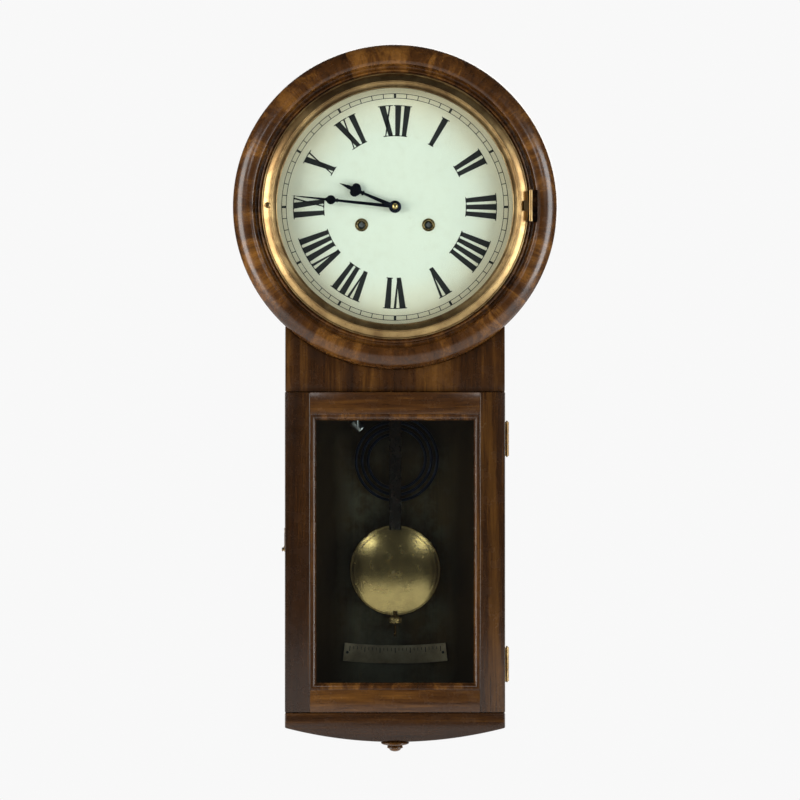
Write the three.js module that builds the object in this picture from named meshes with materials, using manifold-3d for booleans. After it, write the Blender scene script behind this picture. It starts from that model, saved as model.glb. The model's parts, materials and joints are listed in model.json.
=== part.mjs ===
// Round-head pendulum wall clock, eight-day, striking on a coil gong.
// Millimetres, +Z up. The front faces -Y and the wall is the plane Y = 0.
// The origin lies on the back board's back face, straight behind the hand arbor.
import * as THREE from 'three';
import { mergeVertices } from 'three/addons/utils/BufferGeometryUtils.js';
import Module from 'manifold-3d';

const wasm = await Module();
wasm.setup();

// ---- driving dimensions ----------------------------------------------------------------------

const GAP = 0.3; // between wooden pieces and what is let into them
const SEAT = 0.1; // between faces that bear on each other
const RUN = 0.15; // radial clearance of a pivot in its hole
const FULL_TURN = 2 * Math.PI;

const DIAL_R = 168;
const DIAL_T = 1.2;
const SIGHT_R = DIAL_R - 10; // opening of the wooden surround
const BEZEL_IN = DIAL_R - 17;
const BEZEL_OUT = DIAL_R + 2.5;
const BEZEL_GLASS_T = 2.2;
const SURROUND_W = 37.5; // wood outside the bezel
const SURROUND_T = 30; // how far its crest stands out of the case

const HEAD_R = BEZEL_OUT + SURROUND_W; // wooden surround, outer radius
const DRUM_R = HEAD_R - 12; // head case, outer radius
const DRUM_WALL = 12;
const TRUNK_HALF = 141;
const TRUNK_WALL = 14;
const CASE_DEPTH = 118; // wall to the front edge of the case
const BACK_T = 12;

const THROAT_H = 30; // surround's lowest point to the door
const DOOR_H = 410;
const DOOR_TOP = -HEAD_R - THROAT_H;
const DOOR_BOTTOM = DOOR_TOP - DOOR_H;
const DOOR_T = 20;
const STILE_W = 40;
const RAIL_TOP_H = 36;
const RAIL_BOTTOM_H = 37;
const REBATE = 6;
const GLASS_T = 2.5;
const THROAT_T = 9;

const APRON_H = 20; // at the corners
const TRUNK_BOTTOM = DOOR_BOTTOM - APRON_H;
const BOTTOM_RISE = 18; // the lower edge hangs this much lower in the middle
const FINIAL_R = 18;
const FINIAL_H = 13;

const WIND_X = 43; // the two winding arbors
const WIND_Z = -23;
const PLATE_HALF = WIND_X + 47; // movement plates, clear of both great wheels
const PLATE_LOW = WIND_Z - 55;
const PLATE_HIGH = 84;
const PLATE_T = 2.5;
const PLATE_GAP = 37.5;
const BACK_PLATE_Y = 58 - CASE_DEPTH; // rear face of the rear plate

const ROD_W = 16;
const ROD_T = 8;
const ROD_Y = BACK_PLATE_Y + 22;
const BOB_R = 60;
const BOB_T = 26;
const BOB_LEVEL = TRUNK_BOTTOM + 196; // middle of the bob
const GONG_R = 58;
const GONG_DROP = HEAD_R + 124; // hand arbor to the middle of the gong
const GONG_Y = ROD_Y + 16;

const ROUND = 44; // facets of the large round pieces

// ---- tooth counts and modules ----------------------------------------------------------------

const GREAT_TEETH = 72;
const CENTRE_LEAVES = 6;
const CENTRE_TEETH = 54;
const THIRD_LEAVES = 6;
const THIRD_TEETH = 60;
const ESCAPE_LEAVES = 7;
const ESCAPE_TEETH = 32;
const STRIKE_TEETH = 63;
const PIN_LEAVES = 7;
const HAMMER_PINS = 10;
const BLOWS = 90; // in twelve hours, half hours included
const PIN_TEETH = 49;
const FLY_LEAVES = 7;
const CANNON_TEETH = 12;
const MINUTE_TEETH = 36;
const MINUTE_LEAVES = 10;
const HOUR_TEETH = 40;

const GREAT_DISTANCE = Math.hypot(WIND_X, WIND_Z);
const GREAT_MODULE = (2 * GREAT_DISTANCE) / (GREAT_TEETH + CENTRE_LEAVES);
const CENTRE_MODULE = 0.99;
const THIRD_MODULE = 0.72;
const STRIKE_MODULE = 1.4;
const PIN_MODULE = 0.9;
const MOTION_DISTANCE = 18;
const CANNON_MODULE = (2 * MOTION_DISTANCE) / (CANNON_TEETH + MINUTE_TEETH);
const HOUR_MODULE = (2 * MOTION_DISTANCE) / (MINUTE_LEAVES + HOUR_TEETH);

// ---- materials -------------------------------------------------------------------------------

const finish = (color, roughness, metalness) => () =>
  new THREE.MeshStandardMaterial({ color, roughness, metalness });
const wood = finish(0x4a2c14, 0.45, 0);
const darkWood = finish(0x2a1a0d, 0.6, 0);
const backWood = finish(0x3a3524, 0.7, 0);
const brass = finish(0xb08d4a, 0.3, 1);
const steel = finish(0x6a6c70, 0.35, 1);
const bluedSteel = finish(0x1a1e2c, 0.35, 1);
const iron = finish(0x2a2a2a, 0.6, 0.6);
const enamel = finish(0xe8e6d2, 0.5, 0);
const clearGlass = finish(0xd8e4e0, 0.05, 0);

// ---- shape helpers ---------------------------------------------------------------------------

function solid(geometry) {
  const bare = geometry.index ? geometry.toNonIndexed() : geometry.clone();
  for (const name of Object.keys(bare.attributes)) {
    if (name !== 'position') bare.deleteAttribute(name);
  }
  const joined = mergeVertices(bare, 1e-4);
  const triVerts = new Uint32Array(joined.index.array);
  const vertProperties = new Float32Array(joined.attributes.position.array);
  return new wasm.Manifold(new wasm.Mesh({ numProp: 3, vertProperties, triVerts }));
}

function geometryOf(shape) {
  const mesh = shape.getMesh();
  const geometry = new THREE.BufferGeometry();
  const places = new Float32Array((mesh.vertProperties.length / mesh.numProp) * 3);
  for (let i = 0; i < places.length / 3; i++) {
    for (let k = 0; k < 3; k++) {
      places[3 * i + k] = mesh.vertProperties[mesh.numProp * i + k];
    }
  }
  geometry.setAttribute('position', new THREE.BufferAttribute(places, 3));
  geometry.setIndex(new THREE.BufferAttribute(new Uint32Array(mesh.triVerts), 1));
  geometry.computeVertexNormals();
  return geometry;
}

// A block between two opposite corners.
function block(x0, x1, y0, y1, z0, z1) {
  const box = new THREE.BoxGeometry(Math.abs(x1 - x0), Math.abs(y1 - y0), Math.abs(z1 - z0));
  box.translate((x0 + x1) / 2, (y0 + y1) / 2, (z0 + z1) / 2);
  return solid(box);
}

// A flat outline drawn in (x, z), given thickness from y0 (rear) towards y1 (front, lower y).
function slab(outline, y0, y1) {
  const flat = new THREE.ExtrudeGeometry(outline, {
    depth: y0 - y1,
    bevelEnabled: false,
    curveSegments: 8,
  });
  flat.rotateX(Math.PI / 2);
  flat.translate(0, y0, 0);
  return solid(flat);
}

// A turned shape about Y; the profile is a closed loop of [radius, y], or starts and ends at radius 0.
function turned(profile, segments) {
  const points = profile.map(([r, y]) => new THREE.Vector2(r, y));
  const closes = profile[0][0] > 0;
  if (THREE.ShapeUtils.area(points) < 0) points.reverse();
  if (closes) points.push(points[0].clone());
  return solid(new THREE.LatheGeometry(points, segments));
}

// A turned shape about Z; the profile is [radius, z].
function turnedUpright(profile, segments) {
  const points = profile.map(([r, z]) => new THREE.Vector2(r, z));
  if (THREE.ShapeUtils.area(points) < 0) points.reverse();
  const geometry = new THREE.LatheGeometry(points, segments);
  geometry.rotateX(Math.PI / 2);
  return solid(geometry);
}

// A round bar along Y from y0 to y1.
function bar(r, y0, y1, segments = 12, x = 0, z = 0) {
  const geometry = new THREE.CylinderGeometry(r, r, Math.abs(y1 - y0), segments);
  geometry.translate(x, (y0 + y1) / 2, z);
  return solid(geometry);
}

// A round bar along Z.
function post(r, z0, z1, segments = 12, x = 0, y = 0) {
  const geometry = new THREE.CylinderGeometry(r, r, Math.abs(z1 - z0), segments);
  geometry.rotateX(Math.PI / 2);
  geometry.translate(x, y, (z0 + z1) / 2);
  return solid(geometry);
}

// A round bar along X.
function stub(r, x0, x1, segments = 12, y = 0, z = 0) {
  const geometry = new THREE.CylinderGeometry(r, r, Math.abs(x1 - x0), segments);
  geometry.rotateZ(Math.PI / 2);
  geometry.translate((x0 + x1) / 2, y, z);
  return solid(geometry);
}

const unite = (...pieces) => pieces.reduce((a, b) => a.add(b));

// The radius of a faceted hole that lets a faceted bar of radius r turn with clearance.
const bore = (r, segments = 12, clearance = RUN) => (r + clearance) / Math.cos(Math.PI / segments);

function polygon(points) {
  return new THREE.Shape(points.map(([x, z]) => new THREE.Vector2(x, z)));
}

// Points along an arc about the origin.
function arcPoints(r, from, to, steps) {
  const points = [];
  for (let i = 0; i <= steps; i++) {
    const a = from + ((to - from) * i) / steps;
    points.push([r * Math.cos(a), r * Math.sin(a)]);
  }
  return points;
}

// A closed outline of the same few corners for every tooth; each corner is [radius, share of a pitch].
function toothedOutline(teeth, corners) {
  const points = [];
  for (let i = 0; i < teeth; i++) {
    for (const [r, share] of corners) {
      const a = ((i + share) * 2 * Math.PI) / teeth;
      points.push([r * Math.cos(a), r * Math.sin(a)]);
    }
  }
  return polygon(points);
}

// Slim teeth, so that a pair runs with backlash; a tooth is centred on angle 0.
function wheelOutline(teeth, module) {
  const pitch = (module * teeth) / 2;
  const tip = pitch + 0.75 * module;
  return toothedOutline(teeth, [[pitch - 1.5 * module, -0.5], [tip, -0.1], [tip, 0.1]]);
}

function pinionOutline(teeth, module) {
  const pitch = (module * teeth) / 2;
  const [root, tip] = [pitch - 1.2 * module, pitch + 0.6 * module];
  return toothedOutline(teeth, [[root, -0.19], [tip, -0.07], [tip, 0.07], [root, 0.19]]);
}

// Cuts windows between the spokes of a wheel outline.
function crossings(outline, count, inner, outer, spoke) {
  for (let i = 0; i < count; i++) {
    const middle = ((i + 0.5) * 2 * Math.PI) / count;
    const outerHalf = Math.PI / count - spoke / 2 / outer;
    const innerHalf = Math.PI / count - spoke / 2 / inner;
    const corners = [
      ...arcPoints(outer, middle - outerHalf, middle + outerHalf, 4),
      ...arcPoints(inner, middle + innerHalf, middle - innerHalf, 2),
    ];
    outline.holes.push(new THREE.Path(corners.map(([x, z]) => new THREE.Vector2(x, z))));
  }
  return outline;
}

// The phase of wheel b that meshes with wheel a turned by phaseA; b lies in direction from a.
function meshPhase(teethA, phaseA, direction, teethB) {
  const share = ((direction - phaseA) * teethA) / (2 * Math.PI);
  return direction + Math.PI - ((0.5 - share) * 2 * Math.PI) / teethB;
}

const turnedBy = (shape, angle) => shape.rotate([0, (-angle * 180) / Math.PI, 0]);

const clock = new THREE.Group();

function assembly(parent, x = 0, y = 0, z = 0) {
  const group = new THREE.Group();
  group.position.set(x, y, z);
  parent.add(group);
  return group;
}

function part(name, shape, material, parent, place = [0, 0, 0]) {
  const mesh = new THREE.Mesh(geometryOf(shape), material());
  mesh.name = name;
  mesh.position.set(...place);
  parent.add(mesh);
  return mesh;
}

// ---- the case --------------------------------------------------------------------------------

const FRONT = -CASE_DEPTH;
const DRUM_IN = DRUM_R - DRUM_WALL;
const TRUNK_IN = TRUNK_HALF - TRUNK_WALL;
const BOTTOM_R = (TRUNK_HALF ** 2 + BOTTOM_RISE ** 2) / (2 * BOTTOM_RISE);

// Height of the hanging lower edge at a distance from the middle.
const lowerEdge = (x) =>
  TRUNK_BOTTOM - Math.sqrt(BOTTOM_R ** 2 - x ** 2) + Math.sqrt(BOTTOM_R ** 2 - TRUNK_HALF ** 2);

function lowerEdgePoints(half, steps) {
  const points = [];
  for (let i = 0; i <= steps; i++) {
    const x = half - (2 * half * i) / steps;
    points.push([x, lowerEdge(x)]);
  }
  return points;
}

const HANGER = { z: DRUM_R - 46, halfWidth: 15, halfHeight: 26, t: 2 };

function backBoard() {
  const meet = Math.acos(TRUNK_HALF / DRUM_R);
  const outline = polygon([
    ...arcPoints(DRUM_R, -meet, Math.PI + meet, 44),
    [-TRUNK_HALF, TRUNK_BOTTOM],
    ...lowerEdgePoints(TRUNK_HALF, 14).reverse().slice(1, -1),
    [TRUNK_HALF, TRUNK_BOTTOM],
  ]);
  const { z, halfWidth, halfHeight, t } = HANGER;
  const recess = block(
    -halfWidth - GAP, halfWidth + GAP, 1, -t - 2 * GAP, z - halfHeight - GAP, z + halfHeight + GAP,
  );
  const pocket = block(-9, 9, -1, -9, z - 14, z + 14);
  return slab(outline, 0, -BACK_T).subtract(recess).subtract(pocket);
}

function hangerPlate() {
  const { halfWidth, halfHeight, t } = HANGER;
  const rect = polygon([
    [-halfWidth, -halfHeight], [halfWidth, -halfHeight],
    [halfWidth, halfHeight], [-halfWidth, halfHeight],
  ]);
  const keyhole = new THREE.Path();
  keyhole.absarc(0, -6, 6, Math.PI * 0.66, Math.PI * 2.34, false);
  keyhole.absarc(0, 9, 3, 0, Math.PI, false);
  keyhole.closePath();
  rect.holes.push(keyhole);
  return slab(rect, -GAP, -GAP - t);
}

function drum() {
  const outer = bar(DRUM_R, -BACK_T - SEAT, FRONT, ROUND);
  const inner = bar(DRUM_IN, 0, FRONT - 1, ROUND);
  const opening = block(-TRUNK_IN, TRUNK_IN, 0, FRONT - 1, -DRUM_R - 1, 0);
  return outer.subtract(inner).subtract(opening);
}

function trunkSide(side) {
  const wall = block(
    side * TRUNK_IN, side * TRUNK_HALF, -BACK_T - SEAT, FRONT, TRUNK_BOTTOM, -DRUM_R / 2,
  );
  return wall.subtract(bar(DRUM_R + GAP, 0, FRONT - 1, ROUND));
}

function bottomBoard() {
  const half = TRUNK_IN - SEAT;
  const outline = polygon([
    ...lowerEdgePoints(half, 12), [-half, TRUNK_BOTTOM + 14], [half, TRUNK_BOTTOM + 14],
  ].reverse());
  return slab(outline, -BACK_T - SEAT, FRONT);
}

function apron() {
  const top = DOOR_BOTTOM - 0.8;
  const outline = polygon([
    ...lowerEdgePoints(TRUNK_HALF, 16), [-TRUNK_HALF, top], [TRUNK_HALF, top],
  ].reverse());
  return slab(outline, FRONT - SEAT, FRONT - DOOR_T);
}

function throatPanel() {
  const r = HEAD_R + 0.5;
  const a = Math.acos(TRUNK_HALF / r);
  const low = DOOR_TOP + 0.8;
  const outline = polygon([
    ...arcPoints(r, Math.PI + a, 2 * Math.PI - a, 20), [TRUNK_HALF, low], [-TRUNK_HALF, low],
  ].reverse());
  return slab(outline, FRONT - SEAT, FRONT - THROAT_T);
}

const CREST = FRONT - SURROUND_T;
const LAND_Y = FRONT - 22; // seat of the bezel
const DIAL_BACK = FRONT - 6;
const DIAL_FRONT = DIAL_BACK - DIAL_T;

const HINGE_LEAF = { half: 20, x: BEZEL_OUT + 0.7, t: 1.4 };
const BEZEL_AXIS = [BEZEL_OUT + 2.8, CREST - 1.6];

function surround() {
  const profile = [
    [DIAL_R + 0.6, FRONT - SEAT], [HEAD_R - 2, FRONT - SEAT], [HEAD_R, FRONT - 3],
    [HEAD_R, FRONT - 13], [HEAD_R - 4, FRONT - 19.5], [HEAD_R - 11, FRONT - 26],
    [HEAD_R - 21, CREST], [BEZEL_OUT + 10.5, CREST + 2], [BEZEL_OUT + 8.5, CREST + 9.5],
    [BEZEL_OUT + 5, CREST + 9.5], [BEZEL_OUT + 3.5, CREST + 6], [BEZEL_OUT + 1, LAND_Y],
    [SIGHT_R, LAND_Y], [SIGHT_R, DIAL_FRONT - 0.4], [DIAL_R + 0.6, DIAL_FRONT - 0.4],
  ];
  const { half, x, t } = HINGE_LEAF;
  const leafSlot = block(x - 6, x + t + GAP + 9, LAND_Y + 6, CREST - 9, -half - GAP, half + GAP);
  return turned(profile, ROUND).subtract(leafSlot);
}

const caseGroup = assembly(clock);
part('back_board', backBoard(), backWood, caseGroup);
part('head_case_drum', drum(), darkWood, caseGroup);
part('trunk_side_left', trunkSide(-1), wood, caseGroup);
part('trunk_side_right', trunkSide(1), wood, caseGroup);
part('bottom_board', bottomBoard(), darkWood, caseGroup);
part('bottom_apron', apron(), wood, caseGroup);
part('throat_panel', throatPanel(), wood, caseGroup);
part('dial_surround', surround(), wood, caseGroup);
part('hanger_plate', hangerPlate(), iron, caseGroup, [0, 0, HANGER.z]);

const finialTop = TRUNK_BOTTOM - BOTTOM_RISE - SEAT;
part('drop_finial', turnedUpright([
  [0, 0], [FINIAL_R - 3, 0], [FINIAL_R, -1.6], [FINIAL_R - 2, -3.6], [10, -5], [9, -8],
  [5.5, -11.5], [0, -FINIAL_H],
], 16), wood, caseGroup, [0, FRONT - DOOR_T / 2, finialTop]);

// ---- dial and bezel --------------------------------------------------------------------------

const ARBOR_R = 4; // winding arbors
const PIPE_R = 4; // hour wheel's pipe

function dialPlate() {
  const disc = new THREE.Shape();
  disc.absarc(0, 0, DIAL_R, 0, 2 * Math.PI, false);
  const plate = new THREE.ExtrudeGeometry(disc, {
    depth: DIAL_T, bevelEnabled: false, curveSegments: ROUND,
  });
  plate.rotateX(Math.PI / 2);
  plate.translate(0, DIAL_BACK, 0);
  let shape = solid(plate).subtract(bar(bore(PIPE_R + 0.6), 0, 2 * FRONT, 12));
  for (const side of [-1, 1]) {
    shape = shape.subtract(bar(bore(ARBOR_R + 1.2), 0, 2 * FRONT, 12, side * WIND_X, WIND_Z));
  }
  return shape;
}

// A hinge knuckle about Z with a flat tongue that runs to x1.
function knuckle(r, z0, z1, x, y, tongueTo, tongueT) {
  const barrel = post(r, z0, z1, 12, x, y);
  const tongue = block(x, tongueTo, y - tongueT / 2, y + tongueT / 2, z0, z1);
  return barrel.add(tongue);
}

const KNUCKLE = 6.7; // half length of the bezel's knuckle

function bezelRing() {
  const back = LAND_Y - SEAT;
  const ring = turned([
    [BEZEL_IN, back - 1], [BEZEL_IN + 5, back], [BEZEL_OUT, back], [BEZEL_OUT, back - 3.5],
    [BEZEL_OUT - 3, back - 8], [BEZEL_OUT - 8, back - 10.5], [BEZEL_IN + 4, back - 9],
    [BEZEL_IN, back - 6.6], [BEZEL_IN, back - 5.2], [BEZEL_IN + 3, back - 5.2],
    [BEZEL_IN + 3, back - 2.4], [BEZEL_IN, back - 2.4],
  ], ROUND);
  const [x, y] = BEZEL_AXIS;
  const tab = knuckle(2.4, -KNUCKLE, KNUCKLE, x, y, BEZEL_OUT - 6, 1.2);
  const pin = post(0.9, -HINGE_LEAF.half, HINGE_LEAF.half, 8, x, y);
  return ring.add(tab).add(pin);
}

function bezelLeaf() {
  const { half, x, t } = HINGE_LEAF;
  const [ax, ay] = BEZEL_AXIS;
  let shape = block(x, x + t, LAND_Y + 5, ay, -half, half);
  for (const side of [-1, 1]) {
    const near = side * (KNUCKLE + 0.3);
    shape = shape.add(post(2.4, near, side * half, 12, ax, ay));
  }
  shape = shape.subtract(block(x - 1, ax + 3, ay + 3, ay - 3, -KNUCKLE - 0.3, KNUCKLE + 0.3));
  return shape.subtract(post(bore(0.9, 8, 0.1), -half - 1, half + 1, 8, ax, ay));
}

part('dial_plate', dialPlate(), enamel, caseGroup);
part('bezel_hinge_leaf', bezelLeaf(), brass, caseGroup);

const bezelGroup = assembly(clock);
part('bezel_ring', bezelRing(), brass, bezelGroup);
part('bezel_glass', bar(BEZEL_IN + 2.4, LAND_Y - 2.9, LAND_Y - 2.9 - BEZEL_GLASS_T, ROUND),
  clearGlass, bezelGroup);
part('bezel_pull', turned([
  [0, 0], [3.2, 0], [3.2, -1], [2.2, -1.6], [2.2, -4], [4, -6], [4, -8], [0, -9],
], 12), darkWood, bezelGroup, [-BEZEL_OUT + 8, LAND_Y - SEAT - 10.6, 0]);

// ---- trunk door ------------------------------------------------------------------------------

const DOOR_BACK = FRONT - SEAT - 0.2;
const DOOR_FRONT = FRONT - DOOR_T;
const SIGHT_HALF = TRUNK_HALF - STILE_W;
const SIGHT_TOP = DOOR_TOP - RAIL_TOP_H;
const SIGHT_BOTTOM = DOOR_BOTTOM + RAIL_BOTTOM_H;
const REBATE_Y = FRONT - 12;

function rebateBlock() {
  return block(
    -SIGHT_HALF - REBATE, SIGHT_HALF + REBATE, 0, REBATE_Y, SIGHT_BOTTOM - REBATE, SIGHT_TOP + REBATE,
  );
}

function stile(side) {
  return block(
    side * SIGHT_HALF, side * TRUNK_HALF, DOOR_BACK, DOOR_FRONT, DOOR_BOTTOM, DOOR_TOP,
  ).subtract(rebateBlock());
}

function rail(z0, z1) {
  const half = SIGHT_HALF - SEAT;
  return block(-half, half, DOOR_BACK, DOOR_FRONT, z0, z1).subtract(rebateBlock());
}

function doorGlass() {
  const half = SIGHT_HALF + REBATE - GAP;
  return block(
    -half, half, REBATE_Y + SEAT + GLASS_T, REBATE_Y + SEAT,
    SIGHT_BOTTOM - REBATE + GAP, SIGHT_TOP + REBATE - GAP,
  );
}

function glassBead() {
  const half = SIGHT_HALF + REBATE - GAP;
  const top = SIGHT_TOP + REBATE - GAP;
  const bottom = SIGHT_BOTTOM - REBATE + GAP;
  const y0 = DOOR_BACK - 2;
  const y1 = REBATE_Y + SEAT + GLASS_T + SEAT;
  const hole = block(-half + REBATE, half - REBATE, 0, 2 * FRONT, bottom + REBATE, top - REBATE);
  return block(-half, half, y0, y1, bottom, top).subtract(hole);
}

const doorGroup = assembly(clock);
part('door_stile_left', stile(-1), wood, doorGroup);
part('door_stile_right', stile(1), wood, doorGroup);
part('door_rail_top', rail(SIGHT_TOP, DOOR_TOP), wood, doorGroup);
part('door_rail_bottom', rail(DOOR_BOTTOM, SIGHT_BOTTOM), wood, doorGroup);
part('door_glass', doorGlass(), clearGlass, doorGroup);
part('door_glass_bead', glassBead(), darkWood, doorGroup);

const BUTT = { r: 2.5, half: 22, t: 1.4, leaf: 9, knuckle: 7 };
const DOOR_AXIS = [TRUNK_HALF + BUTT.r + 0.6, FRONT - 0.15];

// Butt hinge on the outside corner: leaves lie on the side wall's and the stile's outer faces.
function buttLeaf(onDoor) {
  const { r, half, t, leaf, knuckle: mid } = BUTT;
  const [ax, ay] = DOOR_AXIS;
  const x0 = TRUNK_HALF + SEAT;
  const way = onDoor ? -1 : 1;
  let shape = block(x0, x0 + t, ay + way * 0.35, ay + way * leaf, -half, half);
  const spans = onDoor ? [[-mid, mid]] : [[-half, -mid - 0.3], [mid + 0.3, half]];
  for (const [z0, z1] of spans) {
    const wrap = block(x0, ax, ay + way * 0.35, ay + way * r, z0, z1);
    shape = shape.add(post(r, z0, z1, 12, ax, ay)).add(wrap);
  }
  const gaps = onDoor ? [[-half - 1, -mid - 0.15], [mid + 0.15, half + 1]] : [[-mid - 0.15, mid + 0.15]];
  for (const [z0, z1] of gaps) {
    shape = shape.subtract(block(ax - r - 0.25, ax + 5, ay - r - 0.4, ay + r + 0.4, z0, z1));
  }
  const pinR = 1.1;
  if (onDoor) return shape.add(post(pinR, -half - 1.5, half + 1.5, 8, ax, ay));
  return shape.subtract(post(bore(pinR, 8, 0.12), -half - 2, half + 2, 8, ax, ay));
}

for (const [name, z] of [['upper', DOOR_TOP - 60], ['lower', DOOR_BOTTOM + 60]]) {
  part(`door_hinge_${name}_case_leaf`, buttLeaf(false), brass, caseGroup, [0, 0, z]);
  part(`door_hinge_${name}_door_leaf`, buttLeaf(true), brass, doorGroup, [0, 0, z]);
}

// Hook on the left wall: shown swung up, it drops over the stud on the stile.
const HOOK = { y: FRONT + 14, z: -440, reach: 22, t: 1.6, stud: 1.5 };
const HOOK_X = -TRUNK_HALF - SEAT;

function doorHook() {
  const { reach, t, stud } = HOOK;
  const x0 = HOOK_X - 0.4;
  const x1 = x0 - t;
  const hookBar = block(x0, x1, -3.6, 3.6, 0, reach + 4.5);
  const notch = block(0, 2 * HOOK_X, -5, stud + 0.5, reach - stud - 0.5, reach + stud + 0.5);
  const eye = stub(4, x1, x0, 12, 0, 0);
  const screw = stub(1.6, HOOK_X, x1 - 1, 8, 0, 0);
  return unite(hookBar.subtract(notch), eye, screw);
}

function hookEye() {
  const { t, stud } = HOOK;
  const stem = stub(stud, HOOK_X, HOOK_X - t - 2.4, 8, 0, 0);
  const base = stub(3.6, HOOK_X, HOOK_X - 0.3, 12, 0, 0);
  const head = stub(2.6, HOOK_X - t - 1.4, HOOK_X - t - 2.6, 12, 0, 0);
  return unite(stem, base, head);
}

const hookGroup = assembly(clock, 0, HOOK.y, HOOK.z);
part('door_hook', doorHook(), brass, hookGroup);
part('door_hook_stud', hookEye(), brass, doorGroup, [0, HOOK.y - HOOK.reach, HOOK.z]);

// ---- movement: plates, bracket and pivots ----------------------------------------------------

const REAR_IN = BACK_PLATE_Y - PLATE_T; // inner face of the rear plate
const FRONT_IN = REAR_IN - PLATE_GAP; // inner face of the front plate
const FRONT_OUT = FRONT_IN - PLATE_T;
const PIVOT_R = 1.3;

const polar = (r, degrees) => [
  r * Math.cos((degrees * Math.PI) / 180),
  r * Math.sin((degrees * Math.PI) / 180),
];

function placed(from, distance, degrees) {
  const [x, z] = polar(distance, degrees);
  return [from[0] + x, from[1] + z];
}

const CENTRE = [0, 0];
const TIME = [WIND_X, WIND_Z];
const STRIKE = [-WIND_X, WIND_Z];
const THIRD = placed(CENTRE, (CENTRE_MODULE * (CENTRE_TEETH + THIRD_LEAVES)) / 2, 60);
const ESCAPE_REACH = (THIRD_MODULE * (THIRD_TEETH + ESCAPE_LEAVES)) / 2;
const ESCAPE_TURN = 180 - (Math.acos(THIRD[0] / ESCAPE_REACH) * 180) / Math.PI;
const ESCAPE = placed(THIRD, ESCAPE_REACH, ESCAPE_TURN);
const ESCAPE_R = 15;
const PALLET_REACH = ESCAPE_R * 1.35;
const BEND = [0, ESCAPE[1] + PALLET_REACH]; // pallet arbor and suspension bend share one line
const PIN_REACH = (STRIKE_MODULE * (STRIKE_TEETH + PIN_LEAVES)) / 2;
const PIN = placed(STRIKE, PIN_REACH, 80);
const FLY = placed(PIN, (PIN_MODULE * (PIN_TEETH + FLY_LEAVES)) / 2, 100);
const HAMMER = [PIN[0] - 27, PIN[1] + 4];
const MINUTE = [0, -MOTION_DISTANCE];
const ANCHOR_REACH = 33; // mainspring arbor to the post that holds its outer end

const PILLARS = [
  [PLATE_HALF - 10, PLATE_HIGH - 10], [-PLATE_HALF + 10, PLATE_HIGH - 10],
  [PLATE_HALF - 10, PLATE_LOW + 10], [-PLATE_HALF + 10, PLATE_LOW + 10],
];

const plateOutline = () => polygon([
  [-PLATE_HALF, PLATE_LOW], [PLATE_HALF, PLATE_LOW],
  [PLATE_HALF, PLATE_HIGH], [-PLATE_HALF, PLATE_HIGH],
]);

function drilled(plate) {
  const holes = [
    [TIME, ARBOR_R], [STRIKE, ARBOR_R], [CENTRE, 1.5], [THIRD, PIVOT_R], [ESCAPE, PIVOT_R],
    [BEND, PIVOT_R], [PIN, PIVOT_R], [FLY, PIVOT_R], [HAMMER, PIVOT_R],
  ];
  return holes.reduce(
    (sum, [[x, z], r]) => sum.subtract(bar(bore(r, 8), 0, 2 * FRONT, 8, x, z)), plate,
  );
}

function rearPlate() {
  let plate = slab(plateOutline(), BACK_PLATE_Y, REAR_IN);
  for (const [x, z] of PILLARS) {
    plate = plate.add(bar(4, REAR_IN + 1, FRONT_IN + SEAT, 10, x, z));
  }
  for (const [side, from] of [[1, TIME], [-1, STRIKE]]) {
    const [dx, dz] = polar(ANCHOR_REACH, -42);
    plate = plate.add(bar(2, REAR_IN + 1, FRONT_IN + 9, 8, from[0] + side * dx, from[1] + dz));
  }
  return drilled(plate);
}

function frontPlate() {
  const stud = bar(1.4, FRONT_IN - 1, FRONT_OUT - 10, 10, ...MINUTE);
  return drilled(slab(plateOutline(), FRONT_IN, FRONT_OUT)).add(stud);
}

// Cast bracket: two arms from the back board to the rear plate, joined above the suspension.
function bracket() {
  const y0 = -BACK_T - SEAT;
  const y1 = BACK_PLATE_Y + SEAT;
  const top = PLATE_HIGH + 20;
  const arm = (side) => block(
    side * (PLATE_HALF - 16), side * (PLATE_HALF - 4), y0, y1, PLATE_LOW + 12, top,
  );
  const bridge = block(-PLATE_HALF + 5, PLATE_HALF - 5, y0, y0 - 12, top - 12, top);
  return unite(arm(-1), arm(1), bridge);
}

part('movement_rear_plate', rearPlate(), brass, caseGroup);
part('movement_front_plate', frontPlate(), brass, caseGroup);
part('movement_bracket', bracket(), iron, caseGroup);

// ---- going train -----------------------------------------------------------------------------

const GREAT_Y = [FRONT_IN + 1, FRONT_IN + 3];
const CENTRE_Y = [REAR_IN - 2.5, REAR_IN - 4];
const THIRD_Y = [REAR_IN - 14, REAR_IN - 15.5];
const ESCAPE_Y = [REAR_IN - 24, REAR_IN - 25.2];

// An arbor with a pivot in each plate; forward and backward are extra lengths past the plates.
function arbor(r, pivotR, forward = 0, backward = 0) {
  const body = bar(r, REAR_IN - 0.5, FRONT_IN + 0.5, 10);
  return body.add(bar(pivotR, BACK_PLATE_Y + backward, FRONT_OUT - forward, 10));
}

function toothed(outline, y0, y1, phase) {
  return turnedBy(slab(outline, Math.max(y0, y1), Math.min(y0, y1)), phase);
}

const timeDirection = Math.atan2(-TIME[1], -TIME[0]);
const strikeDirection = Math.atan2(PIN[1] - STRIKE[1], PIN[0] - STRIKE[0]);
const thirdDirection = Math.atan2(THIRD[1], THIRD[0]);
const escapeDirection = Math.atan2(ESCAPE[1] - THIRD[1], ESCAPE[0] - THIRD[0]);
const flyDirection = Math.atan2(FLY[1] - PIN[1], FLY[0] - PIN[0]);
const motionDirection = -Math.PI / 2;

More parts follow.
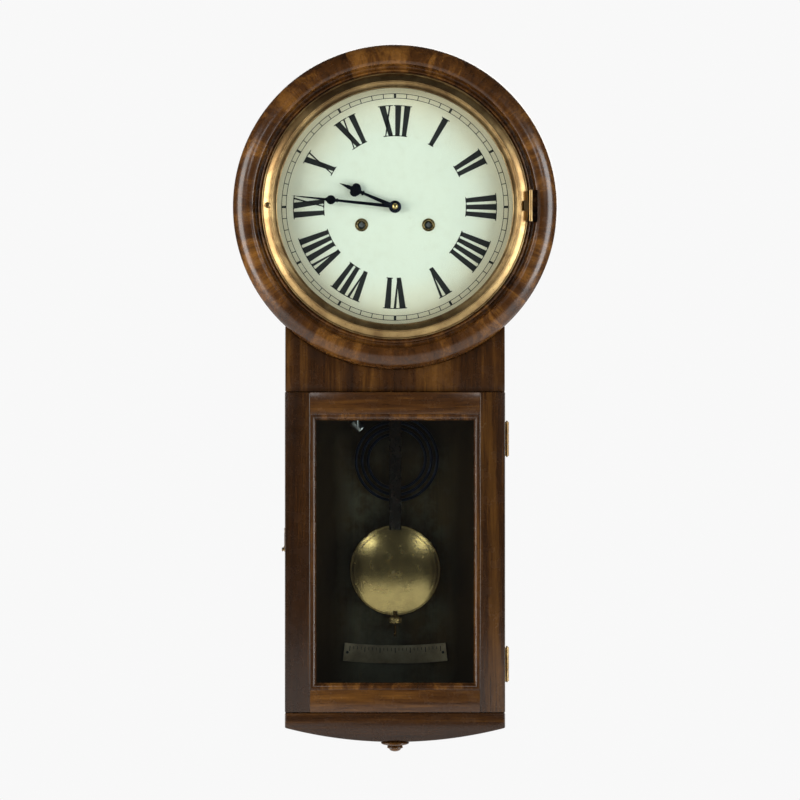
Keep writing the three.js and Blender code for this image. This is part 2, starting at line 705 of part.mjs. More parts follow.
// Wheel that carries the mainspring's pull: loose on the winding arbor, with the click on it.
function greatWheel(teeth, module, [y0, y1]) {
  const pitch = (teeth * module) / 2;
  const outline = crossings(wheelOutline(teeth, module), 5, 19.5, pitch - 5, 6);
  const bored = slab(outline, Math.max(y0, y1), Math.min(y0, y1));
  return bored.subtract(bar(bore(ARBOR_R), 0, 2 * FRONT, 12));
}

const RATCHET = { teeth: 16, r: 10.5, depth: 2, t: 1.8 };

function ratchetOutline() {
  return toothedOutline(RATCHET.teeth, [[RATCHET.r - RATCHET.depth, 0], [RATCHET.r, 0.88]]);
}

function windingArbor(ratchetY) {
  const shaft = bar(ARBOR_R, BACK_PLATE_Y, FRONT_OUT - 7, 12);
  const square = new THREE.CylinderGeometry(3.8, 3.8, 19, 4);
  square.translate(0, FRONT_OUT - 7 - 8.5, 0);
  const ratchet = slab(ratchetOutline(), ratchetY, ratchetY - RATCHET.t);
  return unite(shaft, solid(square), ratchet);
}

// Pawl on the great wheel, its tip standing just clear of the ratchet.
function click(ratchetY) {
  const lever = polygon([
    [-3, 15], [RATCHET.r * 0.12, RATCHET.r + 0.5], [3.4, RATCHET.r + 0.8], [9, 12.5],
    [11, 15.5], [9.5, 17.5], [6, 17.5],
  ]);
  return slab(lever, ratchetY, ratchetY - RATCHET.t);
}

const SPRING = { turns: 5, steps: 10, inner: ARBOR_R + 1, outer: 28.5, t: 0.6 };

// Mainspring: a spiral strip from the arbor to the anchor post.
function mainspring(y0, y1, side) {
  const { turns, steps, inner, outer, t } = SPRING;
  const end = (-42 * Math.PI) / 180;
  const count = turns * steps;
  const edge = (offset) => {
    const points = [];
    for (let i = 0; i <= count; i++) {
      const share = i / count;
      const r = inner + (outer - inner) * share + offset;
      const a = end - FULL_TURN * turns * (1 - share);
      points.push([side * r * Math.cos(a), r * Math.sin(a)]);
    }
    return points;
  };
  const tail = ANCHOR_REACH - 2.4;
  const hook = [[side * tail * Math.cos(end), tail * Math.sin(end)]];
  return slab(polygon([...edge(-t / 2), ...hook, ...edge(t / 2).reverse()]), y0, y1);
}

const TIME_RATCHET_Y = GREAT_Y[1] + 0.4 + RATCHET.t;
const SPRING_REAR = REAR_IN - 8.5;

const timeWheelGroup = assembly(clock, TIME[0], 0, TIME[1]);
part('time_great_wheel', greatWheel(GREAT_TEETH, GREAT_MODULE, GREAT_Y), brass, timeWheelGroup);
part('time_click', click(TIME_RATCHET_Y), steel, timeWheelGroup);
part('time_winding_arbor', windingArbor(TIME_RATCHET_Y), steel, timeWheelGroup);
part('time_mainspring', mainspring(SPRING_REAR, TIME_RATCHET_Y + 1.5, 1), steel, timeWheelGroup);

const centrePhase = meshPhase(GREAT_TEETH, 0, timeDirection, CENTRE_LEAVES);

function centreWheel() {
  const wheel = crossings(wheelOutline(CENTRE_TEETH, CENTRE_MODULE), 5, 6, 22, 4);
  const pinion = pinionOutline(CENTRE_LEAVES, GREAT_MODULE);
  return unite(
    arbor(2, 1.5, 34), toothed(wheel, ...CENTRE_Y, 0),
    toothed(pinion, FRONT_IN + 0.6, GREAT_Y[1] + 0.8, centrePhase),
  );
}

function thirdWheel() {
  const leafPhase = meshPhase(CENTRE_TEETH, 0, thirdDirection, THIRD_LEAVES);
  const wheel = crossings(wheelOutline(THIRD_TEETH, THIRD_MODULE), 5, 5, 17.5, 3.4);
  const pinion = pinionOutline(THIRD_LEAVES, CENTRE_MODULE);
  return unite(
    arbor(1.7, PIVOT_R), toothed(wheel, ...THIRD_Y, 0),
    toothed(pinion, CENTRE_Y[0] + 1.2, CENTRE_Y[1] - 1.2, leafPhase),
  );
}

function escapeWheel() {
  const leafPhase = meshPhase(THIRD_TEETH, 0, escapeDirection, ESCAPE_LEAVES);
  const teeth = toothedOutline(ESCAPE_TEETH, [[ESCAPE_R - 3, 0], [ESCAPE_R, 0.1], [ESCAPE_R, 0.25]]);
  const wheel = crossings(teeth, 4, 4, ESCAPE_R - 5.5, 2.6);
  return unite(
    arbor(1.8, PIVOT_R), toothed(wheel, ...ESCAPE_Y, 0),
    toothed(pinionOutline(ESCAPE_LEAVES, THIRD_MODULE), THIRD_Y[0] + 1.2, THIRD_Y[1] - 1.2, leafPhase),
  );
}

const CRUTCH_Y = [BACK_PLATE_Y + 2.5, BACK_PLATE_Y + 5];
const CRUTCH_LENGTH = 74;

// Anchor with two pallets over the escape wheel, and the crutch behind the rear plate.
function pallets() {
  const reach = ESCAPE_R + 1.6;
  const down = -PALLET_REACH;
  const nib = (side) => {
    const [x, z] = [side * reach * Math.sin(0.72), down + reach * Math.cos(0.72)];
    return [[x + side * 0.2, z + 0.2], [x + side * 2.2, z - 0.6]];
  };
  const [rightTip, rightHeel] = nib(1);
  const [leftTip, leftHeel] = nib(-1);
  const outline = polygon([
    leftTip, leftHeel, [-13.5, 0], [-4, 4], [4, 4], [13.5, 0], rightHeel, rightTip, [9.5, -2.4],
    [3, -1.5], [-3, -1.5], [-9.5, -2.4],
  ].reverse());
  const anchor = slab(outline, ESCAPE_Y[0] + 1.2, ESCAPE_Y[1] - 1.2);
  const [y0, y1] = CRUTCH_Y;
  const arm = block(-1.6, 1.6, y0, y1, -CRUTCH_LENGTH, 3);
  const half = ROD_W / 2 + 0.5;
  const yoke = block(-half - 2, half + 2, y0, y1, -CRUTCH_LENGTH - 4, -CRUTCH_LENGTH);
  const prong = (side) => block(
    side * half, side * (half + 2), y0, ROD_Y + ROD_T / 2 + 1, -CRUTCH_LENGTH - 4, -CRUTCH_LENGTH,
  );
  return unite(arbor(1.8, PIVOT_R, 0, 5), anchor, arm, yoke, prong(-1), prong(1));
}

part('centre_wheel', centreWheel(), brass, assembly(clock));
part('third_wheel', thirdWheel(), brass, assembly(clock, THIRD[0], 0, THIRD[1]));
part('escape_wheel', escapeWheel(), brass, assembly(clock, ESCAPE[0], 0, ESCAPE[1]));
part('pallets_and_crutch', pallets(), steel, assembly(clock, BEND[0], 0, BEND[1]));

// ---- striking train --------------------------------------------------------------------------

const STRIKE_Y = [FRONT_IN + 5, FRONT_IN + 7];
const STRIKE_RATCHET_Y = STRIKE_Y[1] + 0.4 + RATCHET.t;
const PIN_Y = [REAR_IN - 6.3, REAR_IN - 7.8];
const COUNT_R = 26;
const PIN_CIRCLE = 16.5; // hammer pins on the pin wheel

// Count wheel: a raised sector for each hour's blows, a notch for each half hour.
function countWheel() {
  const points = [];
  let at = 0;
  for (let hour = 1; hour <= 12; hour++) {
    const raised = hour - 0.4;
    const steps = Math.max(1, Math.ceil(raised / 4));
    for (let k = 0; k <= steps; k++) {
      const a = ((at + (raised * k) / steps) * FULL_TURN) / BLOWS;
      points.push([COUNT_R * Math.cos(a), COUNT_R * Math.sin(a)]);
    }
    for (const share of [raised + 0.1, hour + 0.9]) {
      const a = ((at + share) * FULL_TURN) / BLOWS;
      points.push([(COUNT_R - 4) * Math.cos(a), (COUNT_R - 4) * Math.sin(a)]);
    }
    at += hour + 1;
  }
  const disc = slab(polygon(points), STRIKE_Y[0] - 0.3, STRIKE_Y[0] - 1.8);
  return disc.subtract(bar(bore(ARBOR_R), 0, 2 * FRONT, 12));
}

function pinWheel() {
  const leafPhase = meshPhase(STRIKE_TEETH, 0, strikeDirection, PIN_LEAVES);
  const wheel = wheelOutline(PIN_TEETH, PIN_MODULE);
  let shape = unite(
    arbor(1.8, PIVOT_R), toothed(wheel, ...PIN_Y, 0),
    toothed(pinionOutline(PIN_LEAVES, STRIKE_MODULE), STRIKE_Y[0] - 0.9, STRIKE_Y[1] + 0.9, leafPhase),
  );
  for (let i = 0; i < HAMMER_PINS; i++) {
    const [x, z] = polar(PIN_CIRCLE, (360 * i) / HAMMER_PINS);
    shape = shape.add(bar(0.9, PIN_Y[0] - 0.5, PIN_Y[1] - 4, 6, x, z));
  }
  return shape;
}

function fly() {
  const leafPhase = meshPhase(PIN_TEETH, 0, flyDirection, FLY_LEAVES);
  const vanes = block(-13, 13, REAR_IN - 16, REAR_IN - 30, -0.5, 0.5);
  return unite(
    arbor(1.8, PIVOT_R), vanes,
    toothed(pinionOutline(FLY_LEAVES, PIN_MODULE), PIN_Y[0] + 1.2, PIN_Y[1] - 1.2, leafPhase),
  );
}

const HEAD_PLACE = [-GONG_R * 0.71 - 8 - HAMMER[0], -GONG_DROP + GONG_R * 0.71 + 8 - HAMMER[1]];

// Hammer: lifting tail by the pin wheel, wire down behind the movement, head beside the gong.
function hammer() {
  const [x, z] = HEAD_PLACE;
  const tail = block(0, 8.5, PIN_Y[1] - 1.5, PIN_Y[1] - 3.5, -1.2, 1.2);
  const wireAt = BACK_PLATE_Y + 4;
  const wire = new THREE.LineCurve3(new THREE.Vector3(0, wireAt, 0), new THREE.Vector3(x, wireAt, z));
  const round = new THREE.Shape();
  round.absarc(0, 0, 1.4, 0, FULL_TURN, false);
  const stem = solid(new THREE.ExtrudeGeometry(round, {
    extrudePath: wire, steps: 1, curveSegments: 4, bevelEnabled: false,
  }));
  const neck = bar(1.8, wireAt - 1, GONG_Y + 5, 8, x, z);
  const head = turned([[0, 8], [6, 8], [6.5, 6.5], [6.5, -6.5], [6, -8], [0, -8]], 12)
    .rotate([90, 0, 0]).rotate([0, -45, 0]).translate([x - 1, GONG_Y, z + 1]);
  return unite(arbor(1.8, PIVOT_R, 0, 6), tail, stem, neck, head);
}

const strikeWheelGroup = assembly(clock, STRIKE[0], 0, STRIKE[1]);
part('strike_great_wheel', greatWheel(STRIKE_TEETH, STRIKE_MODULE, STRIKE_Y), brass, strikeWheelGroup);
part('strike_click', click(STRIKE_RATCHET_Y), steel, strikeWheelGroup);
part('strike_winding_arbor', windingArbor(STRIKE_RATCHET_Y), steel, strikeWheelGroup);
part('strike_mainspring', mainspring(SPRING_REAR, STRIKE_RATCHET_Y + 1.5, -1), steel, strikeWheelGroup);
part('count_wheel', countWheel(), brass, strikeWheelGroup);
part('strike_pin_wheel', pinWheel(), brass, assembly(clock, PIN[0], 0, PIN[1]));
part('strike_fly', fly(), brass, assembly(clock, FLY[0], 0, FLY[1]));
part('gong_hammer', hammer(), steel, assembly(clock, HAMMER[0], 0, HAMMER[1]));

// ---- motion work and hands -------------------------------------------------------------------

const CANNON_R = 2.7;
const MOTION_Y = FRONT_OUT - 2;
const HOUR_Y = MOTION_Y - 4;
const HOUR_HAND_Y = DIAL_FRONT - 4;
const MINUTE_HAND_Y = DIAL_FRONT - 8;
const MINUTE_ANGLE = (46 / 60) * 360; // shown time, 9:46
const HOUR_ANGLE = (9 + 46 / 60) * 30;

function cannonPinion() {
  const tube = bar(CANNON_R, MOTION_Y + 1, MINUTE_HAND_Y - 2, 12);
  const leaves = slab(pinionOutline(CANNON_TEETH, CANNON_MODULE), MOTION_Y, MOTION_Y - 2.4);
  return tube.add(leaves).subtract(bar(bore(1.5), 0, 2 * FRONT, 12));
}

const minutePhase = meshPhase(CANNON_TEETH, 0, motionDirection, MINUTE_TEETH);

function minuteWheel() {
  const wheel = wheelOutline(MINUTE_TEETH, CANNON_MODULE);
  const leaves = pinionOutline(MINUTE_LEAVES, HOUR_MODULE);
  return toothed(wheel, MOTION_Y - 0.4, MOTION_Y - 2, minutePhase)
    .add(toothed(leaves, MOTION_Y - 1.8, HOUR_Y - 2.4, minutePhase))
    .subtract(bar(bore(1.4), 0, 2 * FRONT, 12));
}

function hourWheel() {
  const phase = meshPhase(MINUTE_LEAVES, minutePhase, Math.PI / 2, HOUR_TEETH);
  const wheel = wheelOutline(HOUR_TEETH, HOUR_MODULE);
  const pipe = bar(PIPE_R, HOUR_Y - 1, HOUR_HAND_Y - 1.6, 12);
  return toothed(wheel, HOUR_Y, HOUR_Y - 1.6, phase).add(pipe)
    .subtract(bar(bore(CANNON_R), 0, 2 * FRONT, 12));
}

// Hands are drawn pointing up, then turned clockwise to the time shown.
function handAt(outline, y, t, degrees, hubR, boreR) {
  const blade = slab(outline, y, y - t).add(bar(hubR, y + 0.6, y - t - 0.4, 16));
  return turnedBy(blade.subtract(bar(bore(boreR), 0, 2 * FRONT, 12)), (-degrees * Math.PI) / 180);
}

function hourHand() {
  const outline = polygon([
    [-2.6, -3], [2.6, -3], [2, 44], [9, 52], [8, 60], [2.4, 62], [1.8, 70], [0, 78], [-1.8, 70],
    [-2.4, 62], [-8, 60], [-9, 52], [-2, 44],
  ]);
  return handAt(outline, HOUR_HAND_Y, 1.2, HOUR_ANGLE, 8, PIPE_R);
}

function minuteHand() {
  const outline = polygon([
    [-2.4, -4], [2.4, -4], [2, 74], [6, 80], [4.6, 87], [1.6, 90], [1.1, 112], [0, 134],
    [-1.1, 112], [-1.6, 90], [-4.6, 87], [-6, 80], [-2, 74],
  ]);
  return handAt(outline, MINUTE_HAND_Y, 1.2, MINUTE_ANGLE, 6, CANNON_R);
}

part('cannon_pinion', cannonPinion(), steel, assembly(clock));
part('minute_wheel', minuteWheel(), brass, assembly(clock, MINUTE[0], 0, MINUTE[1]));
part('hour_wheel', hourWheel(), brass, assembly(clock));
part('hour_hand', hourHand(), bluedSteel, assembly(clock));
part('minute_hand', minuteHand(), bluedSteel, assembly(clock));
part('hand_nut', turned([
  [0, -3.4], [2.2, -3], [3.4, -1.4], [3.4, 0], [bore(1.5), 0], [bore(1.5), -2], [0, -2],
], 12), brass, assembly(clock), [0, MINUTE_HAND_Y - 2.1, 0]);

// ---- pendulum --------------------------------------------------------------------------------

const COCK_LOW = BEND[1] + 7;
const ROD_TOP = -12; // below the bend
const BOB_Z = BOB_LEVEL - BEND[1];
const SPRING_T = 0.3;

function cock() {
  const head = block(-11, 11, BACK_PLATE_Y + SEAT, ROD_Y + 5, COCK_LOW, COCK_LOW + 10);
  const slit = block(-SPRING_T - 0.1, SPRING_T + 0.1, ROD_Y - 5, 0, COCK_LOW - 1, COCK_LOW + 7);
  return head.subtract(slit);
}

// Wood rod with a brass clip at the head and a threaded end under the bob.
function rod() {
  const clip = block(-4.5, 4.5, ROD_Y - 3.2, ROD_Y + 3.2, ROD_TOP - 26, ROD_TOP)
    .subtract(block(-0.4, 0.4, ROD_Y - 5, ROD_Y + 5, ROD_TOP - 8, ROD_TOP + 1));
  const stick = block(
    -ROD_W / 2, ROD_W / 2, ROD_Y - ROD_T / 2, ROD_Y + ROD_T / 2, BOB_Z - BOB_R * 0.75, ROD_TOP - 18,
  );
  const thread = post(2, BOB_Z - BOB_R - 28, BOB_Z - BOB_R * 0.75 + 4, 10, 0, ROD_Y);
  return unite(clip, stick, thread);
}

function bob() {
  const half = BOB_T / 2;
  const lens = turned([
    [0, half], [BOB_R * 0.45, half - 2.2], [BOB_R * 0.8, half - 6.5], [BOB_R - 1, 1.6],
    [BOB_R, 0], [BOB_R - 1, -1.6], [BOB_R * 0.8, -half + 6.5], [BOB_R * 0.45, -half + 2.2],
    [0, -half],
  ], 36);
  const slot = block(
    -ROD_W / 2 - GAP, ROD_W / 2 + GAP, -ROD_T / 2 - GAP, ROD_T / 2 + GAP,
    -BOB_R * 0.75 - 4, BOB_R + 1,
  );
  return lens.subtract(slot).subtract(post(2.6, -BOB_R - 1, 0, 12));
}

const pendulumGroup = assembly(clock, BEND[0], 0, BEND[1]);
part('suspension_cock', cock(), brass, caseGroup);
part('suspension_spring', block(
  -SPRING_T / 2, SPRING_T / 2, ROD_Y - 3.4, ROD_Y + 3.4, ROD_TOP - 7, COCK_LOW + 6 - BEND[1],
), steel, pendulumGroup);
part('pendulum_rod', rod(), darkWood, pendulumGroup);
const bobGroup = assembly(pendulumGroup, 0, ROD_Y, BOB_Z);
part('pendulum_bob', bob(), brass, bobGroup);
const nut = post(9, -5, 5, 20).subtract(post(2.6, -6, 6, 12));
part('rating_nut', nut, brass, bobGroup, [0, 0, -BOB_R - 6]);

// ---- gong and beat scale ---------------------------------------------------------------------

const GONG = { turns: 4, steps: 14, inner: 22, wire: 2 };

// Flat coil of steel wire, its outer end rising into the block at the top.
function gongCoil() {
  const { turns, steps, inner, wire } = GONG;
  const points = [];
  for (let i = 0; i <= turns * steps; i++) {
    const share = i / (turns * steps);
    const r = inner + (GONG_R - inner) * share;
    const a = Math.PI / 2 - FULL_TURN * turns * (1 - share);
    points.push(new THREE.Vector3(r * Math.cos(a), 0, r * Math.sin(a)));
  }
  points.push(new THREE.Vector3(-4, 0, GONG_R + 5));
  const round = new THREE.Shape();
  round.absarc(0, 0, wire, 0, FULL_TURN, false);
  return solid(new THREE.ExtrudeGeometry(round, {
    extrudePath: new THREE.CatmullRomCurve3(points), steps: turns * steps, curveSegments: 3,
    bevelEnabled: false,
  }));
}

const gongGroup = assembly(clock, 0, 0, -GONG_DROP);
part('gong_coil', gongCoil(), bluedSteel, gongGroup, [0, GONG_Y, 0]);
part('gong_base', block(-13, 9, -BACK_T - SEAT, GONG_Y - 5, GONG_R + 6.4, GONG_R + 27), iron, gongGroup);

const SCALE_Z = BOB_LEVEL - BOB_R - 54;

// Curved beat scale on the back board behind the pendulum's tip.
function beatScale() {
  const r = SCALE_Z - BEND[1];
  const half = 0.105;
  const arc = (radius) => {
    const points = [];
    for (let i = 0; i <= 10; i++) {
      const a = -half + (2 * half * i) / 10;
      points.push([radius * Math.sin(a), radius * Math.cos(a)]);
    }
    return points;
  };
  return slab(
    polygon([...arc(r - 12), ...arc(r + 12).reverse()]), -BACK_T - SEAT, -BACK_T - 2.6,
  );
}

part('beat_scale', beatScale(), enamel, caseGroup, [0, 0, BEND[1]]);

export default clock;
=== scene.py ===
"""Round-headed pendulum wall clock: the fine surface of its case, dial, hands and pendulum."""

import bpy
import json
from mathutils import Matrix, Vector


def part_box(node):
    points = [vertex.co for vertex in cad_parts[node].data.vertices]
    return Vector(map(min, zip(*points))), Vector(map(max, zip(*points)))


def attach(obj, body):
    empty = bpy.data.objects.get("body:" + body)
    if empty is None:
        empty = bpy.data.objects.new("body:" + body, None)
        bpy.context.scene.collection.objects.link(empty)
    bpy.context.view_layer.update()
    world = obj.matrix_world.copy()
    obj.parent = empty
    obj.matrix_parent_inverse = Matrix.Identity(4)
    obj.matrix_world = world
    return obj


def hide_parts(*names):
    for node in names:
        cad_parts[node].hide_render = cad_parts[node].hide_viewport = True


bl_info = {
    "name": "Round-head Pendulum Clock",
    "version": (1, 0, 0),
    "blender": (4, 5, 0),
    "location": "3D View > Sidebar > Clock",
    "description": "Builds the polished case, glazed door, painted dial and brass pendulum of a wall clock",
    "category": "Object",
}

import json
import math

import bmesh
import bpy
from mathutils import Matrix, Vector

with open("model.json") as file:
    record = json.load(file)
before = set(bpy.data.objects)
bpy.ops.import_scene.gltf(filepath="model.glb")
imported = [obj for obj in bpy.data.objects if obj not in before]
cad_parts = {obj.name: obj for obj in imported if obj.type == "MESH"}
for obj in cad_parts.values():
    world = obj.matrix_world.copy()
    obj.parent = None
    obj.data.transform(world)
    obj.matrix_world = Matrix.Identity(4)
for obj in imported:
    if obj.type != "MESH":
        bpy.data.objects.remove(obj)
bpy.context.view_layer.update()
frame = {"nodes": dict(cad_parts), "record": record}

MM = 0.001
TURN = 2 * math.pi
UP = Vector((0, 0, 1))
ALONG_Y = Vector((0, 1, 0))
ALONG_X = Vector((1, 0, 0))
FINE = 160  # steps round the large turned pieces
SMALL = 40  # steps round the small ones


# ---- settings ------------------------------------------------------------------------------


def length(name, text, default):
    return bpy.props.FloatProperty(name=name, description=text, default=default, unit="LENGTH", precision=5)


def colour(name, text, default):
    return bpy.props.FloatVectorProperty(
        name=name, description=text, default=default, subtype="COLOR", size=3, min=0, max=1
    )


def share(name, text, default):
    return bpy.props.FloatProperty(
        name=name, description=text, default=default, min=0, max=1, subtype="FACTOR"
    )


def power(name, text, default):
    return bpy.props.FloatProperty(name=name, description=text, default=default, unit="POWER")


class ClockWoodSettings(bpy.types.PropertyGroup):
    """Colours and edges of the wooden case."""

    dark: colour("Dark Grain", "Darkest streaks of the polished wood", (0.0065, 0.0026, 0.0010))
    middle: colour("Ground", "General colour of the polished wood", (0.036, 0.0130, 0.0026))
    light: colour("Light Grain", "Lightest streaks of the polished wood", (0.120, 0.050, 0.0095))
    inside: colour("Inside", "Unpolished wood inside the case", (0.060, 0.040, 0.018))
    arris: length("Arris", "Rounding of the wooden edges", 0.9 * MM)
    moulding: length("Moulding", "Width of the moulded edge round the door glass", 8 * MM)


class ClockDialSettings(bpy.types.PropertyGroup):
    """Painted dial and its figures."""

    ground: colour("Ground", "Aged paint in the middle of the dial", (0.80, 0.815, 0.745))
    rim: colour("Rim", "Yellowed paint towards the bezel", (0.84, 0.66, 0.44))
    figures: colour("Figures", "Paint of the hour figures", (0.012, 0.012, 0.014))
    figure_foot: length("Figure Foot", "Radius at the foot of the hour figures", 91 * MM)
    figure_head: length("Figure Head", "Radius at the head of the hour figures", 131 * MM)
    stroke: length("Stroke", "Width of a thick stroke", 6.8 * MM)
    hairline: length("Hairline", "Width of a thin stroke", 1.8 * MM)
    track: length("Minute Track", "Inner radius of the minute track", 139.5 * MM)
    track_width: length("Track Width", "Width of the minute track", 6.5 * MM)


class ClockMetalSettings(bpy.types.PropertyGroup):
    """Brass, steel and glass."""

    brass: colour("Brass", "Clean brass", (0.60, 0.43, 0.19))
    tarnish: colour("Tarnish", "Dull brown brass in the hollows", (0.17, 0.105, 0.045))
    steel: colour("Steel", "Bright steel", (0.42, 0.43, 0.45))
    blued: colour("Blued Steel", "Steel blued nearly black", (0.016, 0.020, 0.036))
    dome: length("Glass Dome", "Rise of the convex bezel glass", 3.5 * MM)


class ClockStageSettings(bpy.types.PropertyGroup):
    """Camera and lights."""

    distance: length("Camera Distance", "From the camera to the front of the clock", 3.3)
    view: length("View Height", "Height of the view at the front of the clock", 1.024)
    aim_x: length("Aim X", "Middle of the view, across", 6.4 * MM)
    aim_z: length("Aim Z", "Middle of the view, up", -248 * MM)
    side_power: power("Side Light", "Power of each large side light", 128)
    low_power: power("Low Light", "Power of the low front light", 18)
    rear_power: power("Rear Light", "Power of the light behind the clock", 55)
    window_power: power("Window Light", "Power of each small light beside the camera", 4.5)
    surround_light: share("Surround Light", "Strength of the even light all round", 0.06)


# ---- mesh helpers --------------------------------------------------------------------------


def node_box(name):
    """Lowest and highest corners of a CAD node as (x0, x1, y0, y1, z0, z1)."""
    low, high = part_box(name)
    return low.x, high.x, low.y, high.y, low.z, high.z


def middle_of(name):
    low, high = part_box(name)
    return (low + high) / 2


def add_block(bm, x0, x1, y0, y1, z0, z1):
    """Adds a block between two corners and returns its vertices."""
    size = Matrix.Diagonal((abs(x1 - x0), abs(y1 - y0), abs(z1 - z0), 1))
    place = Matrix.Translation(((x0 + x1) / 2, (y0 + y1) / 2, (z0 + z1) / 2))
    return bmesh.ops.create_cube(bm, size=1, matrix=place @ size)["verts"]


def add_prism(bm, outline, y0, y1):
    """Adds a flat outline of (x, z) points, carried from y0 to y1."""
    face = bm.faces.new([bm.verts.new((x, y0, z)) for x, z in outline])
    grown = bmesh.ops.extrude_face_region(bm, geom=[face])["geom"]
    verts = [v for v in grown if isinstance(v, bmesh.types.BMVert)]
    bmesh.ops.translate(bm, verts=verts, vec=(0, y1 - y0, 0))
    return verts


def add_turned(bm, profile, centre=(0, 0, 0), axis=ALONG_Y, steps=FINE, angle=TURN, start=0.0):
    """Spins a profile of (radius, height) points about an axis; a full turn closes on itself."""
    centre = Vector(centre)
    out = ALONG_X if axis != ALONG_X else UP
    turn = Matrix.Rotation(start, 3, axis)
    verts = [bm.verts.new(centre + turn @ (out * r + axis * h)) for r, h in profile]
    geom = list(verts)
    full = abs(angle - TURN) < 1e-6
    closed = profile[0][0] > 1e-7
    pairs = list(zip(verts, verts[1:])) + ([(verts[-1], verts[0])] if closed else [])
    geom += [bm.edges.new(pair) for pair in pairs]
    if not full:
        geom.append(bm.faces.new(verts))
    bmesh.ops.spin(
        bm, geom=geom, cent=centre, axis=axis, angle=angle, steps=steps, use_merge=full
    )
    bmesh.ops.remove_doubles(bm, verts=bm.verts[:], dist=1e-6)


def add_bar(bm, radius, start, end, steps=SMALL):
    """Adds a closed round bar between two points."""
    start, end = Vector(start), Vector(end)
    way = end - start
    place = Matrix.Translation((start + end) / 2) @ way.to_track_quat("Z", "Y").to_matrix().to_4x4()
    return bmesh.ops.create_cone(
        bm, cap_ends=True, segments=steps, radius1=radius, radius2=radius, depth=way.length, matrix=place
    )["verts"]


def arc(cx, cy, rx, ry, start, end, steps=8):
    """Points along an elliptical arc, angles in degrees."""
    angles = [math.radians(start + (end - start) * i / steps) for i in range(steps + 1)]
    return [(cx + rx * math.cos(a), cy + ry * math.sin(a)) for a in angles]


def soften(bm, width, segments=2, angle=35):
    """Rounds every edge that is sharper than an angle in degrees."""
    edges = [e for e in bm.edges if e.is_manifold and e.calc_face_angle(0) > math.radians(angle)]
    bmesh.ops.bevel(
        bm, geom=edges, offset=width, offset_type="OFFSET", segments=segments, profile=0.5,
        affect="EDGES", clamp_overlap=True, material=-1,
    )


def put(name, bm, body, material, replaces=(), sharp=40, tidy=True):
    """Turns a bmesh into a finished piece that rides on a body."""
    if tidy:
        bmesh.ops.recalc_face_normals(bm, faces=bm.faces[:])
    mesh = bpy.data.meshes.new(name)
    bm.to_mesh(mesh)
    bm.free()
    mesh.shade_smooth()
    mesh.set_sharp_from_angle(angle=math.radians(sharp))
    piece = bpy.data.objects.new(name, mesh)
    bpy.context.scene.collection.objects.link(piece)
    mesh.materials.append(material)
    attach(piece, body)
    if replaces:
        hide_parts(*replaces)
    return piece


def cut(piece, cutter_bm):
    """Cuts a shape out of a piece."""
    mesh = bpy.data.meshes.new("cutter")
    bmesh.ops.recalc_face_normals(cutter_bm, faces=cutter_bm.faces[:])
    cutter_bm.to_mesh(mesh)
    cutter_bm.free()
    cutter = bpy.data.objects.new("cutter", mesh)
    bpy.context.scene.collection.objects.link(cutter)
    step = piece.modifiers.new("cut", "BOOLEAN")
    step.object = cutter
    step.solver = "EXACT"
    graph = bpy.context.evaluated_depsgraph_get()
    result = bpy.data.meshes.new_from_object(piece.evaluated_get(graph))
    if not result.polygons:
        raise RuntimeError(f"nothing is left of {piece.name}")
    piece.modifiers.remove(step)
    old = piece.data
    piece.data = result
    result.name = old.name
    bpy.data.meshes.remove(old)
    bpy.data.objects.remove(cutter)
    bpy.data.meshes.remove(mesh)
    result.shade_smooth()
    result.set_sharp_from_angle(angle=math.radians(40))
    return piece


def clock_way(angle):
    """Outward and clockwise directions at a clock angle in degrees from twelve."""
    a = math.radians(angle)
    return Vector((math.sin(a), 0, math.cos(a))), Vector((math.cos(a), 0, -math.sin(a)))


# ---- material helpers ----------------------------------------------------------------------


def put_node(tree, kind, values=None, **settings):
    """Adds a shader node; a value that is a socket is linked, any other is set."""
    node = tree.nodes.new(kind)
    for key, value in settings.items():
        setattr(node, key, value)
    for key, value in (values or {}).items():
        if isinstance(value, bpy.types.NodeSocket):
            tree.links.new(value, node.inputs[key])
        else:
            node.inputs[key].default_value = value
    return node


def rgb(value):
    return (*value, 1)


